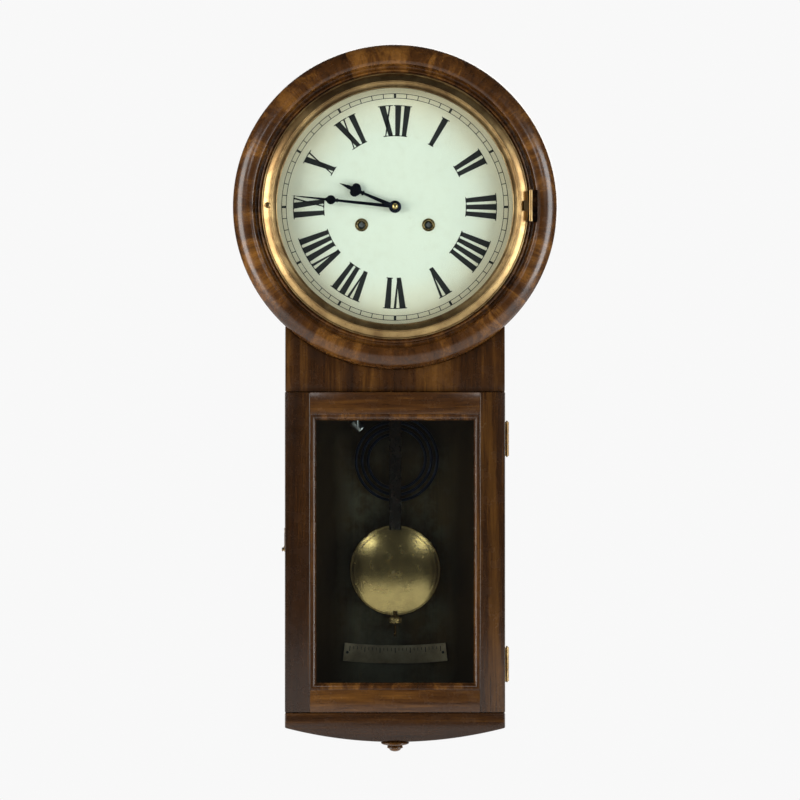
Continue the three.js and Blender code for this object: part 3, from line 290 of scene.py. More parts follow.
class Finish:
    """Builds one material's node tree."""

    def __init__(self, name):
        self.material = bpy.data.materials.new(name)
        self.material.use_nodes = True
        self.tree = self.material.node_tree
        self.tree.nodes.clear()
        self.place = put_node(self.tree, "ShaderNodeTexCoord").outputs["Object"]

    def node(self, kind, values=None, **settings):
        return put_node(self.tree, kind, values, **settings)

    def mapped(self, scale=(1, 1, 1), location=(0, 0, 0), rotation=(0, 0, 0)):
        values = {"Vector": self.place, "Scale": scale, "Location": location, "Rotation": rotation}
        return self.node("ShaderNodeMapping", values).outputs["Vector"]

    def math(self, operation, a, b=0.0):
        return self.node("ShaderNodeMath", {0: a, 1: b}, operation=operation).outputs[0]

    def polar(self, around="Y"):
        """Radius and angle of the object point about an axis through the origin."""
        split = self.node("ShaderNodeSeparateXYZ", {0: self.place}).outputs
        u, v = (split["X"], split["Z"]) if around == "Y" else (split["X"], split["Y"])
        square = self.math("ADD", self.math("MULTIPLY", u, u), self.math("MULTIPLY", v, v))
        return self.math("SQRT", square), self.math("ARCTAN2", v, u), split

    def joined(self, x, y, z):
        return self.node("ShaderNodeCombineXYZ", {0: x, 1: y, 2: z}).outputs[0]

    def noise(self, vector, scale, detail=4.0, roughness=0.55, distortion=0.0):
        values = {
            "Vector": vector, "Scale": scale, "Detail": detail, "Roughness": roughness,
            "Distortion": distortion,
        }
        return self.node("ShaderNodeTexNoise", values).outputs["Fac"]

    def ramp(self, value, stops):
        """Colour ramp; each stop is (position, colour)."""
        node = self.node("ShaderNodeValToRGB", {"Fac": value})
        elements = node.color_ramp.elements
        while len(elements) < len(stops):
            elements.new(0.5)
        for element, (at, tone) in zip(elements, stops):
            element.position = at
            element.color = rgb(tone) if hasattr(tone, "__len__") else (tone, tone, tone, 1)
        return node.outputs["Color"]

    def mix(self, share_of, a, b, blend="MIX"):
        node = self.node("ShaderNodeMix", data_type="RGBA", blend_type=blend)
        for key, value in ((0, share_of), (6, a), (7, b)):
            if isinstance(value, bpy.types.NodeSocket):
                self.tree.links.new(value, node.inputs[key])
            else:
                node.inputs[key].default_value = rgb(value) if key else value
        return node.outputs[2]

    def bump(self, height, distance, strength=1.0, normal=None):
        values = {"Height": height, "Distance": distance, "Strength": strength}
        if normal:
            values["Normal"] = normal
        return self.node("ShaderNodeBump", values).outputs["Normal"]

    def shade(self, values):
        shader = self.node("ShaderNodeBsdfPrincipled", values)
        self.surface(shader.outputs[0])
        return self.material

    def surface(self, socket):
        self.node("ShaderNodeOutputMaterial", {"Surface": socket})


_finishes = {}


def finish(kind, *options):
    """Makes each material once."""
    key = (kind, *options)
    if key not in _finishes:
        _finishes[key] = kind(*options)
    return _finishes[key]


def wood_settings():
    return bpy.context.scene.clock_wood


def metal_settings():
    return bpy.context.scene.clock_metal


GRAIN_STRETCH = 0.045  # how much slower a pattern changes along the fibres
SECTORS = 10  # veneers round the surround


def grain_place(f, grain, offset):
    """Coordinates whose third axis runs along the fibres."""
    if grain == "radial":
        radius, angle, split = f.polar()
        sector = f.math("FLOOR", f.math("MULTIPLY", angle, SECTORS / TURN))
        jump = f.math("MULTIPLY", sector, 0.37)
        across = f.math("ADD", f.math("MULTIPLY", angle, 0.185), jump)
        return f.joined(across, f.math("ADD", split["Y"], jump), f.math("MULTIPLY", radius, GRAIN_STRETCH * 3))
    if grain == "round":
        radius, angle, split = f.polar()
        return f.joined(radius, split["Y"], f.math("MULTIPLY", angle, 0.19 * GRAIN_STRETCH))
    scale = {"X": (GRAIN_STRETCH, 1, 1), "Y": (1, GRAIN_STRETCH, 1), "Z": (1, 1, GRAIN_STRETCH)}[grain]
    turn = {"X": (0, math.pi / 2, 0), "Y": (math.pi / 2, 0, 0), "Z": (0, 0, 0)}[grain]
    stretched = f.mapped(scale=scale, location=(offset, offset * 0.7, offset * 0.3))
    return f.node("ShaderNodeMapping", {"Vector": stretched, "Rotation": turn}).outputs["Vector"]


def polished_wood(grain="Z", offset=0.0, lift=1.0):
    """French-polished reddish brown wood: fibres, broad figure, pores and a clear coat, with lift giving
    lighter and darker copies as painted light and shade.
    """
    s = wood_settings()
    f = Finish(f"polished_wood_{grain}_{round(offset * 100)}")
    at = grain_place(f, grain, offset)
    sway = f.noise(at, 9, 2, 0.5)
    figure = f.noise(at, 34, 5, 0.62, 1.1)
    fibre = f.noise(at, 420, 6, 0.7, 0.3)
    pores = f.ramp(f.noise(at, 1500, 3, 0.6), [(0.56, 0.0), (0.66, 1.0)])
    body = f.math("ADD", f.math("MULTIPLY", figure, 0.62), f.math("MULTIPLY", fibre, 0.30))
    body = f.math("ADD", body, f.math("MULTIPLY", f.math("SUBTRACT", sway, 0.5), 0.35))
    # lift scales the middle and light grain colours of one piece: lighter and darker copies of the same wood,
    # painted light and shade on the case pieces; on the pendulum rod it gives a much darker wood
    light = tuple(min(1, c * lift) for c in s.light)
    middle = tuple(min(1, c * lift) for c in s.middle)
    tone = f.ramp(body, [(0.26, s.dark), (0.46, middle), (0.60, light), (0.74, middle)])
    tone = f.mix(f.math("MULTIPLY", pores, 0.55), tone, s.dark)
    grime = f.ramp(f.noise(f.mapped(), 11, 5, 0.65), [(0.38, 0.0), (0.68, 1.0)])
    tone = f.mix(f.math("MULTIPLY", grime, 0.30), tone, s.dark)
    rough = f.ramp(f.noise(f.mapped(), 60, 4, 0.6), [(0.3, 0.20), (0.75, 0.33)])
    normal = f.bump(f.math("SUBTRACT", fibre, f.math("MULTIPLY", pores, 0.5)), 0.02 * MM, 0.7)
    return f.shade({
        "Base Color": tone, "Roughness": rough, "Normal": normal, "Coat Weight": 0.2,
        "Coat Roughness": 0.10, "Specular IOR Level": 0.3,
    })


def inside_wood(grain="Z"):
    """Unpolished wood inside the case, grey with dust, with painted shade near the trunk sides and under the
    head.
    """
    s = wood_settings()
    f = Finish(f"inside_wood_{grain}")
    at = grain_place(f, grain, 0.21)
    figure = f.noise(at, 30, 5, 0.6, 0.8)
    fibre = f.noise(at, 380, 5, 0.7)
    body = f.math("ADD", f.math("MULTIPLY", figure, 0.6), f.math("MULTIPLY", fibre, 0.4))
    dark = tuple(c * 0.35 for c in s.inside)
    tone = f.ramp(body, [(0.30, dark), (0.55, s.inside), (0.78, tuple(c * 1.35 for c in s.inside))])
    dust = f.ramp(f.noise(f.mapped(), 7, 6, 0.7), [(0.42, 0.0), (0.72, 1.0)])
    tone = f.mix(f.math("MULTIPLY", dust, 0.45), tone, (0.27, 0.29, 0.24))
    split = f.node("ShaderNodeSeparateXYZ", {0: f.mapped()}).outputs
    # painted shade: the face towards the trunk is darker towards the side walls (edge) and under the head
    # (top), where their shadows fall
    side = f.math("ADD", f.math("ABSOLUTE", split["X"]), f.math("MULTIPLY", dust, 0.02))
    edge = f.node("ShaderNodeMapRange", {"Value": side, 1: 0.058, 2: 0.088}).outputs[0]
    top = f.node("ShaderNodeMapRange", {"Value": split["Z"], 1: -0.36, 2: -0.285}).outputs[0]
    inward = f.node("ShaderNodeMapRange", {"Value": split["Y"], 1: -0.003, 2: -0.010}).outputs[0]
    painted_shade = f.math("MULTIPLY", f.math("MAXIMUM", edge, top), inward)
    bare = f.ramp(body, [
        (0.30, (0.050, 0.032, 0.016)), (0.55, (0.125, 0.084, 0.044)), (0.78, (0.19, 0.135, 0.075)),
    ])
    bare = f.mix(f.math("MULTIPLY", dust, 0.35), bare, (0.055, 0.040, 0.026))
    tone = f.mix(inward, bare, tone)
    # mixes in the painted shade, a near black-brown
    tone = f.mix(f.math("MULTIPLY", painted_shade, 0.97), tone, (0.022, 0.012, 0.0035))
    rough = f.ramp(fibre, [(0.3, 0.62), (0.8, 0.85)])
    normal = f.bump(fibre, 0.25 * MM, 0.8)
    return f.shade({"Base Color": tone, "Roughness": rough, "Normal": normal, "Specular IOR Level": 0.08})


def brass(name="brass", turned=False, dull=0.35):
    """Polished brass with tarnish in patches; turned pieces carry fine rings."""
    s = metal_settings()
    f = Finish(f"{name}_{'turned' if turned else 'plain'}_{round(dull * 100)}")
    patches = f.ramp(f.noise(f.mapped(), 30, 4, 0.55, 0.2), [(0.32, 0.0), (0.85, 1.0)])
    specks = f.ramp(f.noise(f.mapped(), 420, 3, 0.5), [(0.60, 0.0), (0.75, 1.0)])
    stain = f.math("ADD", f.math("MULTIPLY", patches, dull), f.math("MULTIPLY", specks, dull * 0.4))
    stain = f.math("ADD", stain, dull * 0.5)
    tone = f.mix(f.math("MINIMUM", stain, 1.0), s.brass, s.tarnish)
    low = 0.14 + 0.14 * dull
    rough = f.ramp(f.noise(f.mapped(), 75, 5, 0.6), [(0.3, low), (0.75, low + 0.10)])
    if turned:
        radius, _, split = f.polar()
        rings = f.noise(f.joined(radius, f.math("MULTIPLY", split["Y"], 0.6), 0.0), 1500, 2, 0.5)
        normal = f.bump(rings, 0.03 * MM, 0.5)
    else:
        normal = f.bump(f.noise(f.mapped(), 650, 3, 0.6), 0.02 * MM, 0.5)
    return f.shade({"Base Color": tone, "Metallic": 1.0, "Roughness": rough, "Normal": normal})


def steel(tone_name="steel", low=0.22):
    """Ground steel with faint scratches."""
    base = getattr(metal_settings(), tone_name)
    f = Finish(f"{tone_name}_{round(low * 100)}")
    blot = f.noise(f.mapped(), 55, 5, 0.6)
    tone = f.ramp(blot, [(0.3, tuple(c * 0.6 for c in base)), (0.7, base)])
    scratch = f.noise(f.mapped(scale=(1, 1, 0.05)), 1700, 2, 0.5)
    rough = f.ramp(scratch, [(0.3, low), (0.8, low + 0.2)])
    normal = f.bump(scratch, 0.015 * MM, 0.6)
    return f.shade({"Base Color": tone, "Metallic": 1.0, "Roughness": rough, "Normal": normal})


def black_iron():
    """Cast iron under old black japan."""
    f = Finish("black_iron")
    grit = f.noise(f.mapped(), 900, 4, 0.6)
    patch = f.noise(f.mapped(), 60, 5, 0.6)
    tone = f.ramp(patch, [(0.35, (0.012, 0.011, 0.010)), (0.75, (0.045, 0.038, 0.030))])
    rough = f.ramp(patch, [(0.3, 0.45), (0.8, 0.7)])
    return f.shade({
        "Base Color": tone, "Metallic": 0.3, "Roughness": rough, "Normal": f.bump(grit, 0.1 * MM, 0.8),
    })


def dial_paint():
    """Aged dial paint, yellowed towards the rim, with faint crackle."""
    s = bpy.context.scene.clock_dial
    f = Finish("dial_paint")
    radius, _, _ = f.polar()
    stain = f.noise(f.mapped(), 16, 6, 0.65, 0.5)
    reach = f.math("ADD", radius, f.math("MULTIPLY", f.math("SUBTRACT", stain, 0.5), 0.035))
    share_of = f.node("ShaderNodeMapRange", {"Value": reach, 1: 0.085, 2: 0.165}).outputs[0]
    warm = f.math("POWER", share_of, 1.6)
    tone = f.mix(warm, s.ground, s.rim)
    dust = f.ramp(f.noise(f.mapped(), 90, 5, 0.7), [(0.5, 0.0), (0.8, 1.0)])
    tone = f.mix(f.math("MULTIPLY", dust, 0.18), tone, (0.50, 0.44, 0.32))
    cell = f.node("ShaderNodeTexVoronoi", {"Vector": f.mapped(), "Scale": 240.0}, feature="DISTANCE_TO_EDGE")
    crack = f.ramp(cell.outputs["Distance"], [(0.0, 1.0), (0.035, 0.0)])
    tone = f.mix(f.math("MULTIPLY", crack, 0.10), tone, (0.34, 0.28, 0.20))
    rough = f.ramp(stain, [(0.3, 0.38), (0.8, 0.55)])
    normal = f.bump(f.noise(f.mapped(), 500, 3, 0.5), 0.02 * MM, 0.5)
    return f.shade({"Base Color": tone, "Roughness": rough, "Normal": normal})


def black_paint():
    """Hour figures' paint, a little worn."""
    s = bpy.context.scene.clock_dial
    f = Finish("figure_paint")
    wear = f.ramp(f.noise(f.mapped(), 300, 5, 0.7), [(0.58, 0.0), (0.8, 1.0)])
    tone = f.mix(f.math("MULTIPLY", wear, 0.35), s.figures, (0.10, 0.10, 0.09))
    rough = f.ramp(wear, [(0.0, 0.4), (1.0, 0.6)])
    return f.shade({"Base Color": tone, "Roughness": rough})


def scale_paint():
    """Brown, stained paint of the beat scale."""
    f = Finish("scale_paint")
    stain = f.noise(f.mapped(), 45, 5, 0.65)
    tone = f.ramp(stain, [(0.3, (0.42, 0.35, 0.25)), (0.55, (0.28, 0.22, 0.15)), (0.8, (0.15, 0.10, 0.07))])
    rough = f.ramp(stain, [(0.3, 0.35), (0.8, 0.6)])
    return f.shade({"Base Color": tone, "Roughness": rough, "Normal": f.bump(stain, 0.05 * MM, 0.5)})


def clear_glass(name="pane_glass", waves=0.0):
    """Thin clear glass that lets lamps through, with a slight old wave."""
    f = Finish(name)
    smear = f.ramp(f.noise(f.mapped(), 14, 5, 0.6), [(0.4, 0.015), (0.8, 0.05)])
    normal = f.bump(f.noise(f.mapped(scale=(1, 1, 0.3)), 9, 2, 0.4), waves, 1.0)
    through = f.node("ShaderNodeBsdfTransparent", {"Color": (0.93, 0.965, 0.94, 1)})
    mirror = f.node("ShaderNodeBsdfGlossy", {"Color": (1, 1, 1, 1), "Roughness": smear, "Normal": normal})
    slant = f.node("ShaderNodeLayerWeight", {"Blend": 0.5, "Normal": normal}).outputs["Facing"]
    share_of = f.math("ADD", f.math("MULTIPLY", f.math("POWER", slant, 5.0), 0.975), 0.025)
    both = f.node("ShaderNodeMixShader", {0: share_of, 1: through.outputs[0], 2: mirror.outputs[0]})
    f.surface(both.outputs[0])
    return f.material


# ---- shared measures -----------------------------------------------------------------------

HEAD_R = 208 * MM
DRUM_R = 196 * MM
DRUM_IN = 184 * MM
TRUNK_IN = 127 * MM
TRUNK_OUT = 141 * MM
BACK_FACE = -12.1 * MM  # front of the back board, with its small gap
FRONT = -118 * MM
DOOR_FRONT = -138 * MM
SIGHT_HALF = 101 * MM
TRUNK_BOTTOM = -668 * MM
BOTTOM_RISE = 18 * MM
DIAL_FRONT = -125.2 * MM
BEZEL_SEAT = -140.1 * MM
BEZEL_AXIS = (173.3 * MM, -149.6 * MM)
DOOR_AXIS = (144.1 * MM, -118.15 * MM)
ROD_Y = -38 * MM
BEND_Z = 64.98 * MM
MINUTE_ANGLE = 276
HOUR_ANGLE = 293


def lower_edge(x):
    """Height of the hanging lower edge of the case at a distance from the middle."""
    radius = (TRUNK_OUT ** 2 + BOTTOM_RISE ** 2) / (2 * BOTTOM_RISE)
    return TRUNK_BOTTOM - math.sqrt(radius ** 2 - x ** 2) + math.sqrt(radius ** 2 - TRUNK_OUT ** 2)


def lower_edge_points(half, steps=32):
    return [(half - 2 * half * i / steps, lower_edge(half - 2 * half * i / steps)) for i in range(steps + 1)]


def add_extrusion(bm, points, way):
    """Adds a flat loop of points carried along a vector."""
    face = bm.faces.new([bm.verts.new(p) for p in points])
    grown = bmesh.ops.extrude_face_region(bm, geom=[face])["geom"]
    verts = [v for v in grown if isinstance(v, bmesh.types.BMVert)]
    bmesh.ops.translate(bm, verts=verts, vec=way)


def add_frame(bm, half, low, high, profile):
    """Carries a closed profile of (outward distance, y) round a rectangle with mitred corners."""
    loops = []
    for sx, sz in ((1, 1), (-1, 1), (-1, -1), (1, -1)):
        ends = [Vector((sx * (half + d), y, (high + d) if sz > 0 else (low - d))) for d, y in profile]
        verts = [bm.verts.new(p) for p in ends]
        loops.append([bm.edges.new((a, b)) for a, b in zip(verts, verts[1:] + verts[:1])])
    for first, second in zip(loops, loops[1:] + loops[:1]):
        bmesh.ops.bridge_loops(bm, edges=first + second)


def add_screw(bm, place, facing, radius, turn=20):
    """Adds a countersunk screw head with a slot; facing is its outward direction."""
    before = set(bm.verts)
    thick = radius * 0.28
    slot_half = radius * 0.13
    bmesh.ops.create_cone(
        bm, cap_ends=True, segments=24, radius1=radius, radius2=radius, depth=thick,
        matrix=Matrix.Translation((0, 0, thick / 2)),
    )
    rim = radius * 0.97
    start = math.degrees(math.asin(slot_half / rim))
    for side in (0, 180):
        half_disc = [(x, y, thick * 0.9) for x, y in arc(0, 0, rim, rim, side + start, side + 180 - start, 12)]
        add_extrusion(bm, half_disc, (0, 0, thick * 0.9))
    aim = Vector(facing).to_track_quat("Z", "Y").to_matrix().to_4x4()
    matrix = Matrix.Translation(place) @ aim @ Matrix.Rotation(math.radians(turn), 4, "Z")
    bmesh.ops.transform(bm, matrix=matrix, verts=[v for v in bm.verts if v not in before])


def turned_at(bm, profile, centre, axis=ALONG_Y, steps=SMALL):
    """Adds a small turned piece away from the origin, apart from what is already there."""
    fresh = bmesh.new()
    add_turned(fresh, profile, centre, axis, steps)
    mesh = bpy.data.meshes.new("turning")
    fresh.to_mesh(mesh)
    fresh.free()
    bm.from_mesh(mesh)
    bpy.data.meshes.remove(mesh)


class ClockPiece:
    """What the operators share."""

    bl_options = {"REGISTER", "UNDO"}

    def execute(self, context):
        self.build()
        return {"FINISHED"}


# ---- the case ------------------------------------------------------------------------------


class CLOCK_OT_head_case(ClockPiece, bpy.types.Operator):
    """Round head drum behind the dial"""

    bl_idname = "clock.head_case"
    bl_label = "Head Case"

    def build(self):
        bm = bmesh.new()
        rim = 1.2 * MM
        add_turned(bm, [
            (DRUM_IN, BACK_FACE), (DRUM_R - rim, BACK_FACE), (DRUM_R, BACK_FACE - rim),
            (DRUM_R, FRONT + rim), (DRUM_R - rim, FRONT), (DRUM_IN, FRONT),
        ])
        # lift 0.8: a darker copy of the wood on the drum, painted shade
        drum = put("head_drum", bm, "case", finish(polished_wood, "round", 0.4, 0.8),
                   ["head_case_drum"])
        opening = bmesh.new()
        add_block(opening, -TRUNK_IN, TRUNK_IN, 0, 2 * FRONT, -HEAD_R, 0)
        cut(drum, opening)


class CLOCK_OT_back_board(ClockPiece, bpy.types.Operator):
    """Back board with its screws and hanger"""

    bl_idname = "clock.back_board"
    bl_label = "Back Board"

    def build(self):
        arris = wood_settings().arris
        meet = math.degrees(math.acos(TRUNK_OUT / DRUM_R))
        outline = arc(0, 0, DRUM_R, DRUM_R, -meet, 180 + meet, 120)
        outline += list(reversed(lower_edge_points(TRUNK_OUT)))
        bm = bmesh.new()
        add_prism(bm, outline, 0, -12 * MM)
        soften(bm, arris)
        board = put("back_panel", bm, "case", finish(inside_wood, "Z"), ["back_board"])
        x0, x1, _, _, z0, z1 = node_box("hanger_plate")
        gap = 0.3 * MM
        recess = bmesh.new()
        add_block(recess, x0 - gap, x1 + gap, MM, -2.6 * MM, z0 - gap, z1 + gap)
        cut(board, recess)
        pocket = bmesh.new()
        add_block(pocket, -9 * MM, 9 * MM, 0, -9 * MM, 136 * MM, 164 * MM)
        cut(board, pocket)

        middle = (z0 + z1) / 2
        bm = bmesh.new()
        corner = 3 * MM
        plate = []
        for cx, cz, start in ((x1, z1, 0), (x0, z1, 90), (x0, z0, 180), (x1, z0, 270)):
            sx, sz = (1 if cx > 0 else -1), (1 if cz > middle else -1)
            plate += arc(cx - sx * corner, cz - sz * corner, corner, corner, start, start + 90, 5)
        add_prism(bm, plate, -0.3 * MM, -2.3 * MM)
        soften(bm, 0.3 * MM, 1)
        hanger = put("hanger", bm, "case", finish(steel, "steel", 0.34), ["hanger_plate"])
        keyhole = bmesh.new()
        low = arc(0, middle - 6 * MM, 6 * MM, 6 * MM, 120, 420, 28)
        high = arc(0, middle + 9 * MM, 3 * MM, 3 * MM, 0, 180, 12)
        add_prism(keyhole, low + high, MM, -4 * MM)
        cut(hanger, keyhole)

        bm = bmesh.new()
        for x in (x0 + 5 * MM, x1 - 5 * MM):
            for z in (z0 + 5 * MM, z1 - 5 * MM):
                add_screw(bm, (x, -0.75 * MM, z), (0, 1, 0), 2.0 * MM, turn=35 + 900 * x)
        for z in (-170, -330, -490, -650):
            for side in (-1, 1):
                place = (side * 134 * MM, -1.1 * MM, z * MM)
                add_screw(bm, place, (0, 1, 0), 3.6 * MM, turn=z)
        for degrees in (0, 45, 90, 135, 180, 225, 315):
            x, z = arc(0, 0, 190 * MM, 190 * MM, degrees, degrees, 1)[0]
            add_screw(bm, (x, -1.1 * MM, z), (0, 1, 0), 3.6 * MM, turn=degrees * 1.7)
        put("back_screws", bm, "case", finish(steel, "steel", 0.3), sharp=30)


class CLOCK_OT_trunk(ClockPiece, bpy.types.Operator):
    """Trunk sides, bottom board, apron, throat and drop finial"""

    bl_idname = "clock.trunk"
    bl_label = "Trunk"

    def build(self):
        arris = wood_settings().arris
        for side, name in ((-1, "left"), (1, "right")):
            bm = bmesh.new()
            add_block(bm, side * TRUNK_IN, side * TRUNK_OUT, BACK_FACE, FRONT, TRUNK_BOTTOM, -104 * MM)
            soften(bm, arris)
            wall = put(f"trunk_wall_{name}", bm, "case",
                       finish(polished_wood, "Z", 0.15 + side * 0.1), [f"trunk_side_{name}"])
            head = bmesh.new()
            add_bar(head, 196.3 * MM, (0, MM, 0), (0, 2 * FRONT, 0), FINE)
            cut(wall, head)

        bm = bmesh.new()
        half = TRUNK_IN - 0.1 * MM
        shelf = TRUNK_BOTTOM + 14 * MM
        add_prism(bm, lower_edge_points(half) + [(-half, shelf), (half, shelf)], BACK_FACE, FRONT)
        soften(bm, arris * 0.6)
        put("bottom_shelf", bm, "case", finish(inside_wood, "X"), ["bottom_board"])

        bm = bmesh.new()
        top = -648.8 * MM
        outline = lower_edge_points(TRUNK_OUT) + [(-TRUNK_OUT, top), (TRUNK_OUT, top)]
        add_prism(bm, outline, FRONT - 0.1 * MM, DOOR_FRONT)
        soften(bm, 1.6 * MM, 3)
        # lift 0.8: a darker copy of the wood on the apron, painted shade
        put("apron", bm, "case", finish(polished_wood, "X", 0.7, 0.8), ["bottom_apron"])

        bm = bmesh.new()
        r = 208.5 * MM
        meet = math.degrees(math.acos(TRUNK_OUT / r))
        low = -237.2 * MM
        outline = arc(0, 0, r, r, 180 + meet, 360 - meet, 60) + [(TRUNK_OUT, low), (-TRUNK_OUT, low)]
        add_prism(bm, outline, FRONT - 0.1 * MM, -127 * MM)
        soften(bm, 0.8 * MM, 2)
        put("throat", bm, "case", finish(polished_wood, "Z", 0.33, 1.0), ["throat_panel"])

        x0, x1, y0, y1, _, z1 = node_box("drop_finial")
        centre = ((x0 + x1) / 2, (y0 + y1) / 2, z1)
        profile = [(0, 0), (15, 0)] + arc(15, -1.8, 3, 1.8, 90, -90, 8)
        profile += [(13.6, -3.9), (11.4, -4.6), (10.2, -5.4)] + arc(8.2, -7.6, 2, 1.3, 60, -60, 5)
        profile += arc(0, -9.2, 7.6, 3.8, 0, -90, 8)
        bm = bmesh.new()
        add_turned(bm, [(max(r, 0) * MM, h * MM) for r, h in profile], centre, UP, 64)
        put("drop_turning", bm, "case", finish(polished_wood, "X", 0.9), ["drop_finial"])


class CLOCK_OT_surround(ClockPiece, bpy.types.Operator):
    """Turned wooden surround of the dial"""

    bl_idname = "clock.surround"
    bl_label = "Dial Surround"

    def build(self):
        profile = [(168.6, -118.1), (206.4, -118.1), (208, -119.7)]
        profile += [(x, -y) for x, y in arc(187.5, 129.5, 20.5, 18.4, 0, 96, 22)]
        profile += [(x, -y) for x, y in arc(183.6, 144.2, 2.4, 2.2, 100, 180, 6)]
        profile += [(180.2, -140.4)] + [(x, -y) for x, y in arc(177.4, 140.6, 2.4, 2.2, -20, -160, 8)]
        profile += [(x, -y) for x, y in arc(173.4, 140.3, 1.7, 1.8, 10, 150, 8)]
        profile += [(171.5, -140.0), (158.8, -140.0)]
        profile += [(x, -y) for x, y in arc(158.8, 139.2, 0.8, 0.8, 90, 180, 4)]
        profile += [(158, -126.2), (158.6, -125.6), (168.6, -125.6)]
        bm = bmesh.new()
        add_turned(bm, [(r * MM, y * MM) for r, y in profile], steps=192)
        # lift 1.6: a much lighter copy of the wood, painted highlight on the surround
        ring = put("surround", bm, "case", finish(polished_wood, "radial", 0.0, 1.6),
                   ["dial_surround"])
        slot = bmesh.new()
        add_block(slot, 165.2 * MM, 181.9 * MM, -134 * MM, -157 * MM, -20.3 * MM, 20.3 * MM)
        cut(ring, slot)


# ---- dial and hands ------------------------------------------------------------------------

NUMERALS = ["XII", "I", "II", "III", "IIII", "V", "VI", "VII", "VIII", "IX", "X", "XI"]


class CLOCK_OT_dial(ClockPiece, bpy.types.Operator):
    """Painted dial, its roman figures, minute track and winding holes"""

    bl_idname = "clock.dial"
    bl_label = "Dial"

    def spot(self, angle, across, out, depth):
        """A point at a clock angle, a distance across it and a radius."""
        outward, clockwise = clock_way(angle)
        if out < 1e-6:
            return Vector((0, depth, 0))
        swing = across / out
        way = outward * math.cos(swing) + clockwise * math.sin(swing)
        return way * out + Vector((0, depth, 0))

    def add_stroke(self, bm, angle, foot, head):
        """Adds a painted stroke; foot and head are (left, right, radius)."""
        s = bpy.context.scene.clock_dial
        middle = (s.figure_foot + s.figure_head) / 2
        corners = [(foot[0], foot[2]), (foot[1], foot[2]), (head[1], head[2]), (head[0], head[2])]
        points = [self.spot(angle, u * r / middle, r, DIAL_FRONT - 0.02 * MM) for u, r in corners]
        add_extrusion(bm, points, (0, -0.1 * MM, 0))

    def add_numeral(self, bm, angle, text):
        s = bpy.context.scene.clock_dial
        low, high = s.figure_foot, s.figure_head
        thick, thin = s.stroke, s.hairline
        serif, reach = 1.2 * MM, 1.5 * MM
        widths = {"I": thick + 3.4 * MM, "V": 16.5 * MM, "X": 17.5 * MM}
        at = -sum(widths[c] for c in text) / 2
        for letter in text:
            width = widths[letter]
            left, right, middle = at, at + width, at + width / 2
            at += width
            if letter == "I":
                bar = (middle - thick / 2, middle + thick / 2)
                self.add_stroke(bm, angle, (*bar, low), (*bar, high))
                ends = [(middle, low, thick), (middle, high - serif, thick)]
            elif letter == "V":
                self.add_stroke(
                    bm, angle, (middle - thick * 0.62, middle + thick * 0.38, low),
                    (left + reach, left + reach + thick, high),
                )
                self.add_stroke(
                    bm, angle, (middle - thin * 0.2, middle + thin * 0.8, low),
                    (right - reach - thin * 1.6, right - reach, high),
                )
                ends = [
                    (left + reach + thick / 2, high - serif, thick),
                    (right - reach - thin, high - serif, thin * 2),
                ]
            else:
                self.add_stroke(
                    bm, angle, (right - reach - thick, right - reach, low),
                    (left + reach, left + reach + thick, high),
                )
                self.add_stroke(
                    bm, angle, (left + reach + thin, left + reach + 2 * thin, low),
                    (right - reach - 2 * thin, right - reach - thin, high),
                )
                ends = [
                    (left + reach + thick / 2, high - serif, thick),
                    (right - reach - thin * 1.5, high - serif, thin * 2),
                    (right - reach - thick / 2, low, thick),
                    (left + reach + thin * 1.5, low, thin * 2),
                ]
            for centre, base, breadth in ends:
                half = breadth / 2 + reach
                self.add_stroke(bm, angle, (centre - half, centre + half, base),
                                (centre - half, centre + half, base + serif))

    def build(self):
        s = bpy.context.scene.clock_dial
        _, radius, y0, y1, _, _ = node_box("dial_plate")
        bm = bmesh.new()
        edge = 0.3 * MM
        add_turned(bm, [
            (0, y1), (radius - edge, y1), (radius, y1 - edge),
            (radius, y0 + edge), (radius - edge, y0), (0, y0),
        ])
        plate = put("dial", bm, "case", finish(dial_paint), ["dial_plate"])
        holes = bmesh.new()
        add_bar(holes, 4.9 * MM, (0, 0, 0), (0, 2 * FRONT, 0))
        for side in (-1, 1):
            add_bar(holes, 5.5 * MM, (side * 43 * MM, 0, -23 * MM), (side * 43 * MM, 2 * FRONT, -23 * MM))
        cut(plate, holes)

        bm = bmesh.new()
        for hour, text in enumerate(NUMERALS):
            self.add_numeral(bm, hour * 30, text)
        line = 0.75 * MM
        depth = DIAL_FRONT - 0.02 * MM
        top = depth - 0.1 * MM
        for inner in (s.track, s.track + s.track_width - line):
            outer = inner + line
            turned_at(bm, [(inner, depth), (outer, depth), (outer, top), (inner, top)], (0, 0, 0), steps=FINE)
        for minute in range(60):
            half = (1.5 if minute % 5 == 0 else 0.5) * MM
            low, high = s.track + 0.1 * MM, s.track + s.track_width - 0.1 * MM
            corners = [(-half, low), (half, low), (half, high), (-half, high)]
            points = [self.spot(minute * 6, u, r, depth) for u, r in corners]
            add_extrusion(bm, points, (0, -0.1 * MM, 0))
        put("dial_figures", bm, "case", finish(black_paint))

        bm = bmesh.new()
        for side in (-1, 1):
            eyelet = [(5.5, 0), (8.4, 0), (8.4, -0.3), (7.8, -0.9), (6.2, -1.0), (5.5, -0.5)]
            profile = [(r * MM, DIAL_FRONT + y * MM) for r, y in eyelet]
            turned_at(bm, profile, (side * 43 * MM, 0, -23 * MM))
        put("winding_eyelets", bm, "case", finish(brass, "brass", False, 0.6))

        bm = bmesh.new()
        for angle in (15, 105, 195, 285):
            outward, _ = clock_way(angle)
            place = outward * 154.5 * MM + Vector((0, DIAL_FRONT, 0))
            add_screw(bm, place, (0, -1, 0), 2.1 * MM, turn=angle)
        put("dial_screws", bm, "case", finish(brass, "brass", False, 0.6), sharp=30)


